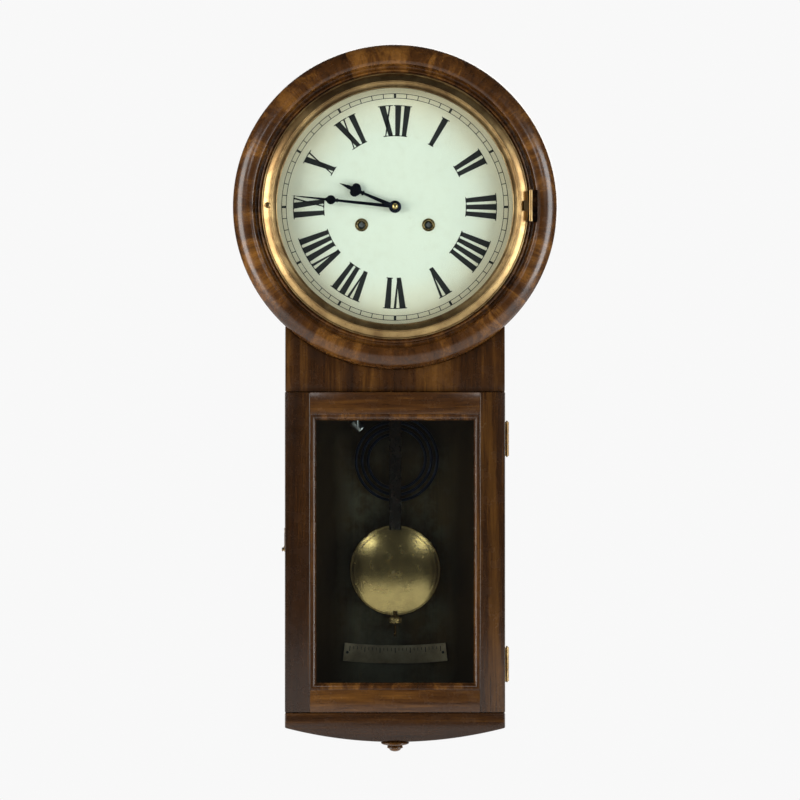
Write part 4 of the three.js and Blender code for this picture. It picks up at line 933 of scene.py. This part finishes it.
class CLOCK_OT_hands(ClockPiece, bpy.types.Operator):
    """Blued steel hands and the nut that holds them"""

    bl_idname = "clock.hands"
    bl_label = "Hands"

    def add_hand(self, name, half_outline, y, degrees, hub, hole, body, node):
        """Half an outline from hub to tip is mirrored, given thickness, bevelled and turned to the time."""
        bm = bmesh.new()
        right = [(x * MM, z * MM) for x, z in half_outline]
        left = [(-x, z) for x, z in reversed(right) if x > 1e-9]
        thick = 1.2 * MM
        add_prism(bm, right + left, y, y - thick)
        soften(bm, 0.28 * MM, 2, 50)
        ring = [(hole, y + 0.6 * MM), (hub - 0.5 * MM, y + 0.6 * MM), (hub, y), (hub, y - thick),
                (hub - 0.6 * MM, y - thick - 0.4 * MM), (hole, y - thick - 0.4 * MM)]
        turned_at(bm, ring, (0, 0, 0), steps=48)
        turn = Matrix.Rotation(math.radians(degrees), 3, "Y")
        bmesh.ops.rotate(bm, verts=bm.verts[:], cent=(0, 0, 0), matrix=turn)
        put(name, bm, body, finish(steel, "blued", 0.24), [node])

    def build(self):
        hour = [(2.8, 4), (2.1, 30), (1.7, 43), (3.2, 44), (3.2, 45.4), (1.8, 46.2), (2.6, 48)]
        hour += [(5.2, 49.4), (8.2, 52.0), (9.0, 55.0), (8.3, 58.4), (5.6, 60.8), (3.6, 60.6), (2.3, 62)]
        hour += [(2.6, 64.5), (1.7, 69.0), (0.9, 74.0), (0, 78)]
        self.add_hand("hour_pointer", hour, -129.2 * MM, HOUR_ANGLE, 8 * MM, 4.3 * MM, "hour", "hour_hand")
        minute = [(2.4, 3), (1.9, 50), (1.6, 73), (2.6, 74), (2.6, 75.2), (1.6, 76), (3.4, 77.6)]
        minute += [(5.4, 80.0), (6.0, 83.0), (4.9, 86.4), (2.8, 88.0), (1.6, 90), (1.2, 104)]
        minute += [(0.9, 118), (0, 134)]
        self.add_hand(
            "minute_pointer", minute, -133.2 * MM, MINUTE_ANGLE, 6 * MM, 3.0 * MM, "minute", "minute_hand"
        )
        y = -135.3
        profile = [(0, y - 2), (1.65, y - 2), (1.65, y), (3.6, y), (3.9, y - 0.4), (3.9, y - 0.9)]
        profile += [(3.4, y - 1.5), (2.6, y - 2.4), (1.4, y - 3.1), (0, y - 3.4)]
        bm = bmesh.new()
        add_turned(bm, [(r * MM, h * MM) for r, h in profile], steps=SMALL)
        put("hands_cap", bm, "minute", finish(brass, "brass", True, 0.3), ["hand_nut"])


# ---- bezel ---------------------------------------------------------------------------------


class CLOCK_OT_bezel(ClockPiece, bpy.types.Operator):
    """Hinged brass bezel, its convex glass, pull and hinge"""

    bl_idname = "clock.bezel"
    bl_label = "Bezel"

    def build(self):
        ax, ay = BEZEL_AXIS
        seat = -BEZEL_SEAT / MM
        profile = [(151.0, seat + 1.0), (156.0, seat), (169.9, seat), (170.5, seat + 0.6), (170.5, seat + 2.8)]
        profile += arc(169.4, seat + 3.0, 1.1, 1.3, 10, 120, 6)
        profile += [(168.5, seat + 3.7)] + arc(153.5, seat - 14.5, 23.2, 23.8, 52, 71, 10)
        profile += [(160.7, seat + 8.9)] + arc(159.6, seat + 9.3, 1.15, 1.15, 10, 165, 8)
        profile += [(158.3, seat + 8.7)] + arc(150.2, seat + 22.6, 16.0, 16.0, 299, 278, 8)
        profile += [(152.4, seat + 6.9)] + arc(151.8, seat + 6.7, 0.8, 0.8, 60, 180, 6)
        profile += [(151.0, seat + 5.2), (154.0, seat + 5.2), (154.0, seat + 2.4), (151.0, seat + 2.4)]
        bm = bmesh.new()
        add_turned(bm, [(r * MM, -y * MM) for r, y in profile], steps=192)
        turned = [(0.0, -6.7), (2.4, -6.7), (2.4, 6.7), (0.0, 6.7)]
        turned_at(bm, [(r * MM, h * MM) for r, h in turned], (ax, ay, 0), UP, 24)
        add_block(bm, 164.5 * MM, ax, ay - 0.6 * MM, ay + 0.6 * MM, -6.7 * MM, 6.7 * MM)
        pin = [(0.0, -20.6), (0.9, -20.2), (0.9, 20.2), (0.0, 20.6)]
        turned_at(bm, [(r * MM, h * MM) for r, h in pin], (ax, ay, 0), UP, 20)
        put("bezel", bm, "bezel", finish(brass, "bezel_brass", True, 0.95), ["bezel_ring"])

        rise, radius, thick = metal_settings().dome, 153.4 * MM, 2.0 * MM
        sphere = (radius ** 2 + rise ** 2) / (2 * rise)
        edge_y = -143.0 * MM
        drop = [(radius * k / 18, sphere - math.sqrt(sphere ** 2 - (radius * k / 18) ** 2)) for k in range(19)]
        back = [(r, edge_y - rise + d) for r, d in drop]
        front = [(r, y - thick) for r, y in reversed(back)]
        bm = bmesh.new()
        add_turned(bm, back + front, steps=128)
        put("bezel_pane", bm, "bezel",
            finish(clear_glass, "bezel_glass", 0.02 * MM), ["bezel_glass"])

        low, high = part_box("bezel_pull")
        centre = Vector(((low.x + high.x) / 2, high.y, 0))
        profile = [(0, 0), (3.4, 0), (3.5, -0.7), (2.4, -1.4), (1.7, -2.6), (1.9, -4.0)]
        profile += [(r, -h) for r, h in arc(1.6, 6.6, 2.3, 2.3, -70, 90, 10)] + [(0, -8.9)]
        bm = bmesh.new()
        add_turned(bm, [(r * MM, h * MM) for r, h in profile], centre, ALONG_Y, 32)
        put("pull_knob", bm, "bezel", finish(brass, "brass", False, 0.95), ["bezel_pull"])

        bm = bmesh.new()
        x0, x1 = 171.2 * MM, 172.6 * MM
        add_block(bm, x0, x1, -135 * MM, ay, -20 * MM, 20 * MM)
        soften(bm, 0.25 * MM, 1)
        leaf = put("bezel_hinge", bm, "case",
                   finish(brass, "brass", False, 0.9), ["bezel_hinge_leaf"])
        middle = bmesh.new()
        add_block(middle, x0 - MM, ax + 3 * MM, ay + 3 * MM, ay - 3 * MM, -7 * MM, 7 * MM)
        cut(leaf, middle)
        bm = bmesh.new()
        for side in (-1, 1):
            low, high = sorted((side * 7.0, side * 20.0))
            barrel = [(1.05, low), (2.2, low), (2.4, low + 0.2), (2.4, high - 0.2), (2.2, high), (1.05, high)]
            turned_at(bm, [(r * MM, h * MM) for r, h in barrel], (ax, ay, 0), UP, 28)
        put("bezel_hinge_barrels", bm, "case", finish(brass, "brass", False, 0.9))


# ---- trunk door ----------------------------------------------------------------------------


class CLOCK_OT_door(ClockPiece, bpy.types.Operator):
    """Glazed trunk door: stiles, rails, sight moulding, glass and bead"""

    bl_idname = "clock.door"
    bl_label = "Trunk Door"

    def build(self):
        s = wood_settings()
        low, high = node_box("door_stile_left")[4:]
        back, front = -118.3 * MM, DOOR_FRONT
        rebate_y, mould = -130 * MM, s.moulding
        inner, rebate = SIGHT_HALF, SIGHT_HALF + 6 * MM
        outer = TRUNK_OUT
        sight_low, sight_high = node_box("door_rail_bottom")[5], node_box("door_rail_top")[4]
        for side, name in ((-1, "left"), (1, "right")):
            profile = [(rebate, back), (rebate, rebate_y), (inner + mould, rebate_y), (inner + mould, front),
                       (outer, front), (outer, back)]
            bm = bmesh.new()
            add_extrusion(bm, [(side * x, y, low) for x, y in profile], (0, 0, high - low))
            soften(bm, s.arris * 1.3, 3)
            # lift 0.72: darker copies of the wood on the stiles, painted shade
            put(f"stile_{name}", bm, "trunk_door",
                finish(polished_wood, "Z", 0.5 + side * 0.3, 0.72), [f"door_stile_{name}"])
        for name, z_sight, z_edge in (("top", sight_high, high), ("bottom", sight_low, low)):
            way = 1 if z_edge > z_sight else -1
            profile = [(back, z_edge), (front, z_edge), (front, z_sight + way * mould),
                       (rebate_y, z_sight + way * mould), (rebate_y, z_sight + way * 6 * MM),
                       (back, z_sight + way * 6 * MM)]
            half = inner + mould - 0.1 * MM
            bm = bmesh.new()
            add_extrusion(bm, [(-half, y, z) for y, z in profile], (2 * half, 0, 0))
            soften(bm, s.arris * 0.8, 2)
            # lift 1.15: lighter copies of the wood on the rails, painted light
            put(f"rail_{name}", bm, "trunk_door",
                finish(polished_wood, "X", 0.1 + 0.45 * (way > 0), 1.15), [f"door_rail_{name}"])

        bm = bmesh.new()
        y_top = front + 0.6 * MM
        profile = [(0.0, rebate_y), (0.0, rebate_y - 1.6 * MM), (1.2 * MM, rebate_y - 1.9 * MM)]
        profile += [(6.4 * MM + x, -y) for x, y in arc(0, 131.9 * MM, 5.2 * MM, 5.4 * MM, 180, 92, 8)]
        profile += [(mould - 0.7 * MM, y_top), (mould, y_top + 0.5 * MM), (mould, rebate_y)]
        add_frame(bm, inner, sight_low, sight_high, profile)
        # lift 1.3: a lighter copy of the wood on the sight moulding, painted light
        put("sight_moulding", bm, "trunk_door",
            finish(polished_wood, "Z", 0.62, 1.3), sharp=50)

        x0, x1, y0, y1, z0, z1 = node_box("door_glass")
        bm = bmesh.new()
        add_block(bm, x0, x1, y0, y1, z0, z1)
        put("door_pane", bm, "trunk_door",
            finish(clear_glass, "door_pane_glass", 0.05 * MM), ["door_glass"])

        x0, x1, y0, y1, z0, z1 = node_box("door_glass_bead")
        bm = bmesh.new()
        inset = x1 - SIGHT_HALF
        lip, flat = 0.3 * MM, y1 - 2.4 * MM
        bead = [(inset, y0), (inset, y1), (lip, y1), (lip, flat)]
        bead += [(lip + (inset - lip) * t, flat - (flat - y0) * t ** 2) for t in (0.3, 0.6, 0.85)]
        add_frame(bm, SIGHT_HALF, z0 + inset, z1 - inset, bead)
        # lift 0.7: a darker copy of the wood on the glass bead, painted shade
        put("glass_bead", bm, "trunk_door",
            finish(polished_wood, "Z", 0.47, 0.7), ["door_glass_bead"], sharp=50)


class CLOCK_OT_door_fittings(ClockPiece, bpy.types.Operator):
    """Butt hinges, hook and stud of the trunk door"""

    bl_idname = "clock.door_fittings"
    bl_label = "Door Fittings"

    def leaf(self, name, level, on_door):
        ax, ay = DOOR_AXIS
        half, thick, deep, knuckle, r = 22 * MM, 1.4 * MM, 9 * MM, 7 * MM, 2.5 * MM
        way = -1 if on_door else 1
        x0 = 141.1 * MM
        bm = bmesh.new()
        add_block(bm, x0, x0 + thick, ay + way * 0.35 * MM, ay + way * deep, level - half, level + half)
        soften(bm, 0.3 * MM, 2)
        body = "trunk_door" if on_door else "case"
        kind = "door" if on_door else "case"
        plate = put(f"{name}_{kind}_plate", bm, body, finish(brass, "brass", False, 0.95),
                    [f"door_{name}_{kind}_leaf"])
        away = bmesh.new()
        clear = knuckle + 0.15 * MM
        spans = ((-half - MM, -clear), (clear, half + MM)) if on_door else ((-clear, clear),)
        y0, y1 = ay - r - 0.4 * MM, ay + r + 0.4 * MM
        for low, high in spans:
            add_block(away, ax - r - 0.25 * MM, ax + 5 * MM, y0, y1, level + low, level + high)
        cut(plate, away)
        bm = bmesh.new()
        barrels = ((-6.85, 6.85),) if on_door else ((-22, -7.15), (7.15, 22))
        for low, high in barrels:
            bore = 0 if on_door else 1.25
            barrel = [(bore, low), (2.2, low), (2.5, low + 0.3), (2.5, high - 0.3), (2.2, high), (bore, high)]
            turned_at(bm, [(rr * MM, level + h * MM) for rr, h in barrel], (ax, ay, 0), UP, 28)
            add_block(bm, x0 + 0.05 * MM, ax - 1.6 * MM, ay + way * 0.4 * MM, ay + way * 2.3 * MM,
                      level + low * MM + 0.2 * MM, level + high * MM - 0.2 * MM)
        if on_door:
            pin = [(0, -23.6), (0.8, -23.4), (1.1, -23.0), (1.1, 23.0), (0.8, 23.4), (0, 23.6)]
            turned_at(bm, [(rr * MM, level + h * MM) for rr, h in pin], (ax, ay, 0), UP, 20)
        for height in (-15.5, 0, 15.5):
            place = (x0 + thick - 0.2 * MM, ay + way * 6.0 * MM, level + height * MM)
            add_screw(bm, place, (1, 0, 0), 1.7 * MM, turn=height * 4 + way * 20)
        put(f"{name}_{kind}_barrel", bm, body, finish(brass, "brass", False, 0.95), sharp=32)

    def build(self):
        for name in ("hinge_upper", "hinge_lower"):
            level = middle_of(f"door_{name}_case_leaf").z
            self.leaf(name, level, False)
            self.leaf(name, level, True)

        y, z, x0 = -104 * MM, -440 * MM, -141.5 * MM
        thick, reach, stud = 1.6 * MM, 22 * MM, 1.5 * MM
        half = 3.6 * MM
        slot = stud + 0.5 * MM
        top = reach + 4.6 * MM
        outline = arc(y, z, half, half, 180, 360, 14)
        outline += arc(y + half - 2 * MM, z + top - 2 * MM, 2 * MM, 2 * MM, 0, 90, 4)
        outline += arc(y - half + 1 * MM, z + top - 1 * MM, MM, MM, 90, 180, 3)
        outline += [(y - half, z + reach + slot), (y, z + reach + slot)]
        outline += [(y + dy, z + reach + dz) for dy, dz in arc(0, 0, slot, slot, 90, -90, 10)][1:-1]
        outline += [(y, z + reach - slot), (y - half, z + reach - slot)]
        bm = bmesh.new()
        add_extrusion(bm, [(x0, a, b) for a, b in outline], (-thick, 0, 0))
        soften(bm, 0.2 * MM, 1)
        boss = [(0, 0.3), (1.6, 0.3), (1.6, -0.2), (4.0, -0.2), (4.0, -1.8), (3.4, -2.0), (0, -2.0)]
        turned_at(bm, [(r * MM, x0 + h * MM) for r, h in boss], (0, y, z), ALONG_X, 32)
        add_screw(bm, (x0 - 1.95 * MM, y, z), (-1, 0, 0), 2.3 * MM, turn=25)
        put("hook", bm, "hook", finish(brass, "brass", False, 0.6), ["door_hook"], sharp=32)

        z_stud, y_stud = z, y - reach
        edge = -141.1
        profile = [(0, edge), (3.6, edge), (3.6, edge - 0.25), (1.5, edge - 0.3), (1.5, edge - 2.6)]
        profile += [(2.4, edge - 3.0), (2.6, edge - 3.4), (2.4, edge - 4.0), (1.2, edge - 4.3), (0, edge - 4.3)]
        bm = bmesh.new()
        add_turned(bm, [(r * MM, h * MM) for r, h in profile], (0, y_stud, z_stud), ALONG_X, 32)
        put("hook_post", bm, "trunk_door", finish(brass, "brass", False, 0.6), ["door_hook_stud"])


# ---- pendulum, gong and scale --------------------------------------------------------------


class CLOCK_OT_pendulum(ClockPiece, bpy.types.Operator):
    """Wood rod, brass bob and rating nut"""

    bl_idname = "clock.pendulum"
    bl_label = "Pendulum"

    def build(self):
        low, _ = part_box("pendulum_rod")
        stick_low, stick_high = -517 * MM, 35 * MM
        bm = bmesh.new()
        add_block(bm, -8 * MM, 8 * MM, -42 * MM, -34 * MM, stick_low, stick_high)
        soften(bm, 1.3 * MM, 3)
        put("rod_stick", bm, "pendulum",
            finish(polished_wood, "Z", 0.8, 0.22), ["pendulum_rod"])

        bm = bmesh.new()
        add_block(bm, -4.5 * MM, 4.5 * MM, -41.2 * MM, -34.8 * MM, 33 * MM, 53 * MM)
        add_block(bm, -8.4 * MM, 8.4 * MM, -42.5 * MM, -33.5 * MM, 29 * MM, 36 * MM)
        soften(bm, 0.5 * MM, 2)
        for z in (31.0, 47.0):
            add_screw(bm, (0, (-42.4 if z < 40 else -41.1) * MM, z * MM), (0, -1, 0), 1.4 * MM, turn=z)
        turned = [(0, low.z / MM), (1.5, low.z / MM), (1.9, low.z / MM + 0.5)]
        steps = int((stick_low / MM + 2 - low.z / MM - 1) / 0.9)
        for k in range(steps):
            z = low.z / MM + 0.8 + 0.9 * k
            turned += [(2.0, z), (1.6, z + 0.45)]
        turned += [(1.9, stick_low / MM + 1.6), (0, stick_low / MM + 1.6)]
        turned_at(bm, [(r * MM, z * MM) for r, z in turned], (0, ROD_Y, 0), UP, 24)
        put("rod_metal", bm, "pendulum", finish(brass, "brass", False, 0.5), sharp=32)

        centre = middle_of("pendulum_bob")
        radius, half, core = 60.0, 13.0, 4.6
        rim = 57.2
        sphere = (rim ** 2 + (half - 3.0) ** 2) / (2 * (half - 3.0))
        face = [(rim * k / 24, half - sphere + math.sqrt(sphere ** 2 - (rim * k / 24) ** 2)) for k in range(25)]
        shell = [point for point in face if point[1] > core - 0.1]
        bm = bmesh.new()
        for side in (1, -1):
            cap = shell + [(shell[-1][0], core - 0.4), (0, core - 0.4)]
            turned_at(bm, [(r * MM, side * h * MM) for r, h in cap], centre, ALONG_Y, 160)
        put("bob_lens", bm, "bob", finish(brass, "bob_brass", False, 0.42), ["pendulum_bob"])

        edge = [point for point in face if point[0] > shell[-1][0] - 0.1]
        edge += [(rim + 0.2, 2.6)] + [(r, h) for r, h in arc(58.3, 0, 1.7, 2.7, 100, 0, 8)]
        profile = [(0, core - 0.1)] + edge + [(r, -h) for r, h in reversed(edge[:-1])] + [(0, 0.1 - core)]
        bm = bmesh.new()
        add_turned(bm, [(min(r, radius) * MM, h * MM) for r, h in profile], centre, ALONG_Y, 160)
        ring = put("bob_rim", bm, "bob", finish(brass, "bob_brass", False, 0.42))
        channel = bmesh.new()
        y0, y1 = ROD_Y - 4.3 * MM, ROD_Y + 4.3 * MM
        add_block(channel, -8.3 * MM, 8.3 * MM, y0, y1, centre.z - 50 * MM, centre.z + 70 * MM)
        cut(ring, channel)
        channel = bmesh.new()
        add_block(channel, -3 * MM, 3 * MM, y0, y1, centre.z - 70 * MM, centre.z - 45 * MM)
        cut(ring, channel)

        z0, z1 = node_box("rating_nut")[4:]
        rim, bore = 1.6 * MM, 2.25 * MM
        bm = bmesh.new()
        add_turned(bm, [
            (bore, z0), (6.4 * MM, z0), (7.7 * MM, z0 + rim * 0.6), (8.4 * MM, z0 + rim), (8.4 * MM, z1 - rim),
            (7.7 * MM, z1 - rim * 0.6), (6.4 * MM, z1), (bore, z1),
        ], (0, ROD_Y, 0), UP, 96)
        for k in range(32):
            x, y = 8.4 * MM * math.cos(TURN * k / 32), ROD_Y + 8.4 * MM * math.sin(TURN * k / 32)
            add_bar(bm, 0.5 * MM, (x, y, z0 + rim), (x, y, z1 - rim), 8)
        put("rating_wheel", bm, "nut", finish(brass, "brass", False, 0.45), ["rating_nut"])


class CLOCK_OT_gong(ClockPiece, bpy.types.Operator):
    """Coiled gong with its block, and the beat scale"""

    bl_idname = "clock.gong"
    bl_label = "Gong and Beat Scale"

    def build(self):
        _, _, y0, y1, z0, _ = node_box("gong_coil")
        centre = Vector((0, (y0 + y1) / 2, z0 + 60 * MM))
        turns, steps = 3.0, 56
        inner, outer, wire = 34 * MM, 58 * MM, 2 * MM
        curve = bpy.data.curves.new("gong_path", "CURVE")
        curve.dimensions = "3D"
        curve.bevel_depth = wire
        curve.bevel_resolution = 4
        curve.use_fill_caps = True
        count = int(turns * steps)
        points = []
        for i in range(count + 1):
            part = i / count
            r = inner + (outer - inner) * part
            a = math.pi / 2 - TURN * turns * (1 - part)
            points.append(centre + Vector((r * math.cos(a), 0, r * math.sin(a))))
        points.append(centre + Vector((-2 * MM, 0, outer + 2.6 * MM)))
        points.append(centre + Vector((-4 * MM, 0, outer + 6.4 * MM)))
        spline = curve.splines.new("POLY")
        spline.points.add(len(points) - 1)
        for point, place in zip(spline.points, points):
            point.co = (*place, 1)
        holder = bpy.data.objects.new("gong_path", curve)
        bpy.context.scene.collection.objects.link(holder)
        graph = bpy.context.evaluated_depsgraph_get()
        mesh = bpy.data.meshes.new_from_object(holder.evaluated_get(graph))
        bm = bmesh.new()
        bm.from_mesh(mesh)
        bpy.data.objects.remove(holder)
        bpy.data.meshes.remove(mesh)
        bmesh.ops.remove_doubles(bm, verts=bm.verts[:], dist=1e-6)
        put("gong", bm, "case", finish(steel, "blued", 0.3), ["gong_coil"])

        x0, x1, y0, y1, z0, z1 = node_box("gong_base")
        bm = bmesh.new()
        add_block(bm, x0, x1, y0, y1, z0, z1)
        soften(bm, 1.2 * MM, 3)
        add_screw(bm, ((x0 + x1) / 2, y0 - 0.05 * MM, z1 - 6 * MM), (0, -1, 0), 3.2 * MM, turn=40)
        put("gong_block", bm, "case", finish(black_iron), ["gong_base"], sharp=35)

        x0, x1, y0, y1, z0, z1 = node_box("beat_scale")
        radius = BEND_Z - z0 - 12 * MM
        half = 0.105
        down = math.degrees(half)
        upper = arc(0, BEND_Z, radius - 12 * MM, radius - 12 * MM, 270 - down, 270 + down, 24)
        lower = arc(0, BEND_Z, radius + 12 * MM, radius + 12 * MM, 270 + down, 270 - down, 24)
        bm = bmesh.new()
        add_prism(bm, upper + lower, y1, y0)
        soften(bm, 0.4 * MM, 2)
        put("beat_plate", bm, "case", finish(scale_paint), ["beat_scale"])
        bm = bmesh.new()
        for k in range(-12, 13):
            a = k * half / 13.5
            tall = (7.0 if k % 4 == 0 else 4.2) * MM
            wide = (0.55 if k % 4 == 0 else 0.35) * MM
            out, cross = Vector((math.sin(a), 0, -math.cos(a))), Vector((math.cos(a), 0, math.sin(a)))
            base = Vector((0, y0 + 0.05 * MM, BEND_Z)) + out * (radius - 9 * MM)
            foot = [base - cross * wide, base + cross * wide]
            head = [place + out * tall for place in reversed(foot)]
            add_extrusion(bm, foot + head, (0, -0.12 * MM, 0))
        for side in (-1, 1):
            a = side * half * 0.93
            place = Vector((math.sin(a) * radius, y0 + 0.05 * MM, BEND_Z - math.cos(a) * radius))
            add_screw(bm, place, (0, -1, 0), 1.8 * MM, turn=side * 50)
        put("beat_marks", bm, "case", finish(black_paint), sharp=30)


# ---- movement ------------------------------------------------------------------------------

SLOT_FINISHES = {
    "brass": lambda: finish(brass, "brass", False, 0.45),
    "steel": lambda: finish(steel, "steel", 0.26),
    "blued_steel": lambda: finish(steel, "blued", 0.28),
    "iron": lambda: finish(black_iron),
    "polished_wood": lambda: finish(polished_wood, "Z", 0.2),
    "dark_wood": lambda: finish(inside_wood, "Z"),
    "back_wood": lambda: finish(inside_wood, "Z"),
    "enamel": lambda: finish(scale_paint),
    "glass": lambda: finish(clear_glass, "door_pane_glass", 0.05 * MM),
}


class CLOCK_OT_movement(ClockPiece, bpy.types.Operator):
    """Finishes of the wheels, plates, springs and other pieces kept from the frame"""

    bl_idname = "clock.movement"
    bl_label = "Movement Finishes"

    def build(self):
        slots = {part["node"]: part["material_slot"] for part in frame["record"]["subparts"]}
        for name, node in frame["nodes"].items():
            material = SLOT_FINISHES[slots[name]]()
            if not node.data.materials:
                node.data.materials.append(material)
            for entry in node.material_slots:
                entry.material = material


# ---- stage ---------------------------------------------------------------------------------


class CLOCK_OT_stage(ClockPiece, bpy.types.Operator):
    """Camera, soft lights and pale floor"""

    bl_idname = "clock.stage"
    bl_label = "Stage"

    def add_light(self, name, place, aim, size, power, tone):
        lamp = bpy.data.lights.new(name, "AREA")
        lamp.shape = "RECTANGLE"
        lamp.size, lamp.size_y = size
        lamp.energy = power
        lamp.color = tone
        holder = bpy.data.objects.new(name, lamp)
        bpy.context.scene.collection.objects.link(holder)
        holder.location = place
        holder.rotation_mode = "QUATERNION"
        holder.rotation_quaternion = (Vector(aim) - Vector(place)).to_track_quat("-Z", "Y")
        return holder

    def build(self):
        s = bpy.context.scene.clock_stage
        scene = bpy.context.scene
        camera = bpy.data.cameras.new("camera")
        holder = bpy.data.objects.new("camera", camera)
        scene.collection.objects.link(holder)
        scene.camera = holder
        front = DOOR_FRONT
        aim = Vector((s.aim_x, front, s.aim_z))
        holder.location = aim + Vector((0, -s.distance, 0))
        holder.rotation_mode = "QUATERNION"
        holder.rotation_quaternion = (aim - holder.location).to_track_quat("-Z", "Y")
        camera.sensor_width = 36
        camera.lens = 36 * s.distance / s.view
        camera.clip_end = 50

        bm = bmesh.new()
        under = Matrix.Translation((0, 0, -1.28))
        bmesh.ops.create_grid(bm, x_segments=2, y_segments=2, size=3.0, matrix=under)
        mesh = bpy.data.meshes.new("floor")
        bm.to_mesh(mesh)
        bm.free()
        floor = bpy.data.objects.new("floor", mesh)
        scene.collection.objects.link(floor)
        ground = Finish("floor_paint")
        cloud = ground.noise(ground.mapped(), 2.0, 2)
        tone = ground.ramp(cloud, [(0.3, (0.78, 0.78, 0.77)), (0.7, (0.82, 0.82, 0.81))])
        mesh.materials.append(ground.shade({
            "Base Color": tone, "Roughness": 0.9, "Emission Color": (1, 1, 1, 1), "Emission Strength": 0.30,
        }))

        warm, cool = (1.0, 0.97, 0.93), (0.95, 0.98, 1.0)
        self.add_light("left_softbox", (-2.75, -1.45, 0.0), (0, -0.1, -0.2), (1.7, 2.6), s.side_power, warm)
        self.add_light("right_softbox", (2.75, -1.45, 0.0), (0, -0.1, -0.2), (1.7, 2.6), s.side_power, cool)
        self.add_light("low_softbox", (0.0, -2.7, -1.75), (0, -0.1, -0.47), (1.3, 0.5), s.low_power, warm)
        self.add_light("rear_softbox", (0.6, 3.0, 0.9), (0, 0, -0.25), (2.4, 1.8), s.rear_power, warm)
        for name, x in (("left_window", -1.25), ("right_window", 1.3)):
            self.add_light(name, (x, -2.6, 0.7), (0, -0.1, -0.4), (0.40, 0.46), s.window_power, cool)

        world = bpy.data.worlds.new("surround")
        scene.world = world
        world.use_nodes = True
        tree = world.node_tree
        tree.nodes.clear()
        seen = put_node(tree, "ShaderNodeBackground", {"Color": (0.94, 0.94, 0.94, 1), "Strength": 1.0})
        lit = put_node(tree, "ShaderNodeBackground", {
            "Color": (0.93, 0.95, 1.0, 1), "Strength": s.surround_light,
        })
        ray = put_node(tree, "ShaderNodeLightPath")
        both = put_node(tree, "ShaderNodeMixShader", {
            0: ray.outputs["Is Camera Ray"], 1: lit.outputs[0], 2: seen.outputs[0],
        })
        put_node(tree, "ShaderNodeOutputWorld", {"Surface": both.outputs[0]})
        scene.view_settings.view_transform = "Standard"


# ---- panel and registration ----------------------------------------------------------------

STEPS = [
    CLOCK_OT_stage, CLOCK_OT_movement, CLOCK_OT_head_case, CLOCK_OT_back_board, CLOCK_OT_trunk,
    CLOCK_OT_surround, CLOCK_OT_dial, CLOCK_OT_hands, CLOCK_OT_bezel, CLOCK_OT_door,
    CLOCK_OT_door_fittings, CLOCK_OT_pendulum, CLOCK_OT_gong,
]
SETTINGS = {
    "clock_wood": ClockWoodSettings,
    "clock_dial": ClockDialSettings,
    "clock_metal": ClockMetalSettings,
    "clock_stage": ClockStageSettings,
}


class CLOCK_PT_builder(bpy.types.Panel):
    """Settings and steps of the clock"""

    bl_idname = "CLOCK_PT_builder"
    bl_label = "Wall Clock"
    bl_space_type = "VIEW_3D"
    bl_region_type = "UI"
    bl_category = "Clock"

    def draw(self, context):
        layout = self.layout
        for name, group in SETTINGS.items():
            box = layout.box()
            box.label(text=group.__doc__)
            for key in group.__annotations__:
                box.prop(getattr(context.scene, name), key)
        for step in STEPS:
            layout.operator(step.bl_idname, text=step.bl_label)


CLASSES = [*SETTINGS.values(), *STEPS, CLOCK_PT_builder]


def register():
    for each in CLASSES:
        bpy.utils.register_class(each)
    for name, group in SETTINGS.items():
        setattr(bpy.types.Scene, name, bpy.props.PointerProperty(type=group))


def unregister():
    for name in SETTINGS:
        delattr(bpy.types.Scene, name)
    for each in reversed(CLASSES):
        bpy.utils.unregister_class(each)


def main():
    register()
    for step in STEPS:
        group, name = step.bl_idname.split(".")
        getattr(getattr(bpy.ops, group), name)()


if __name__ == "__main__":
    main()
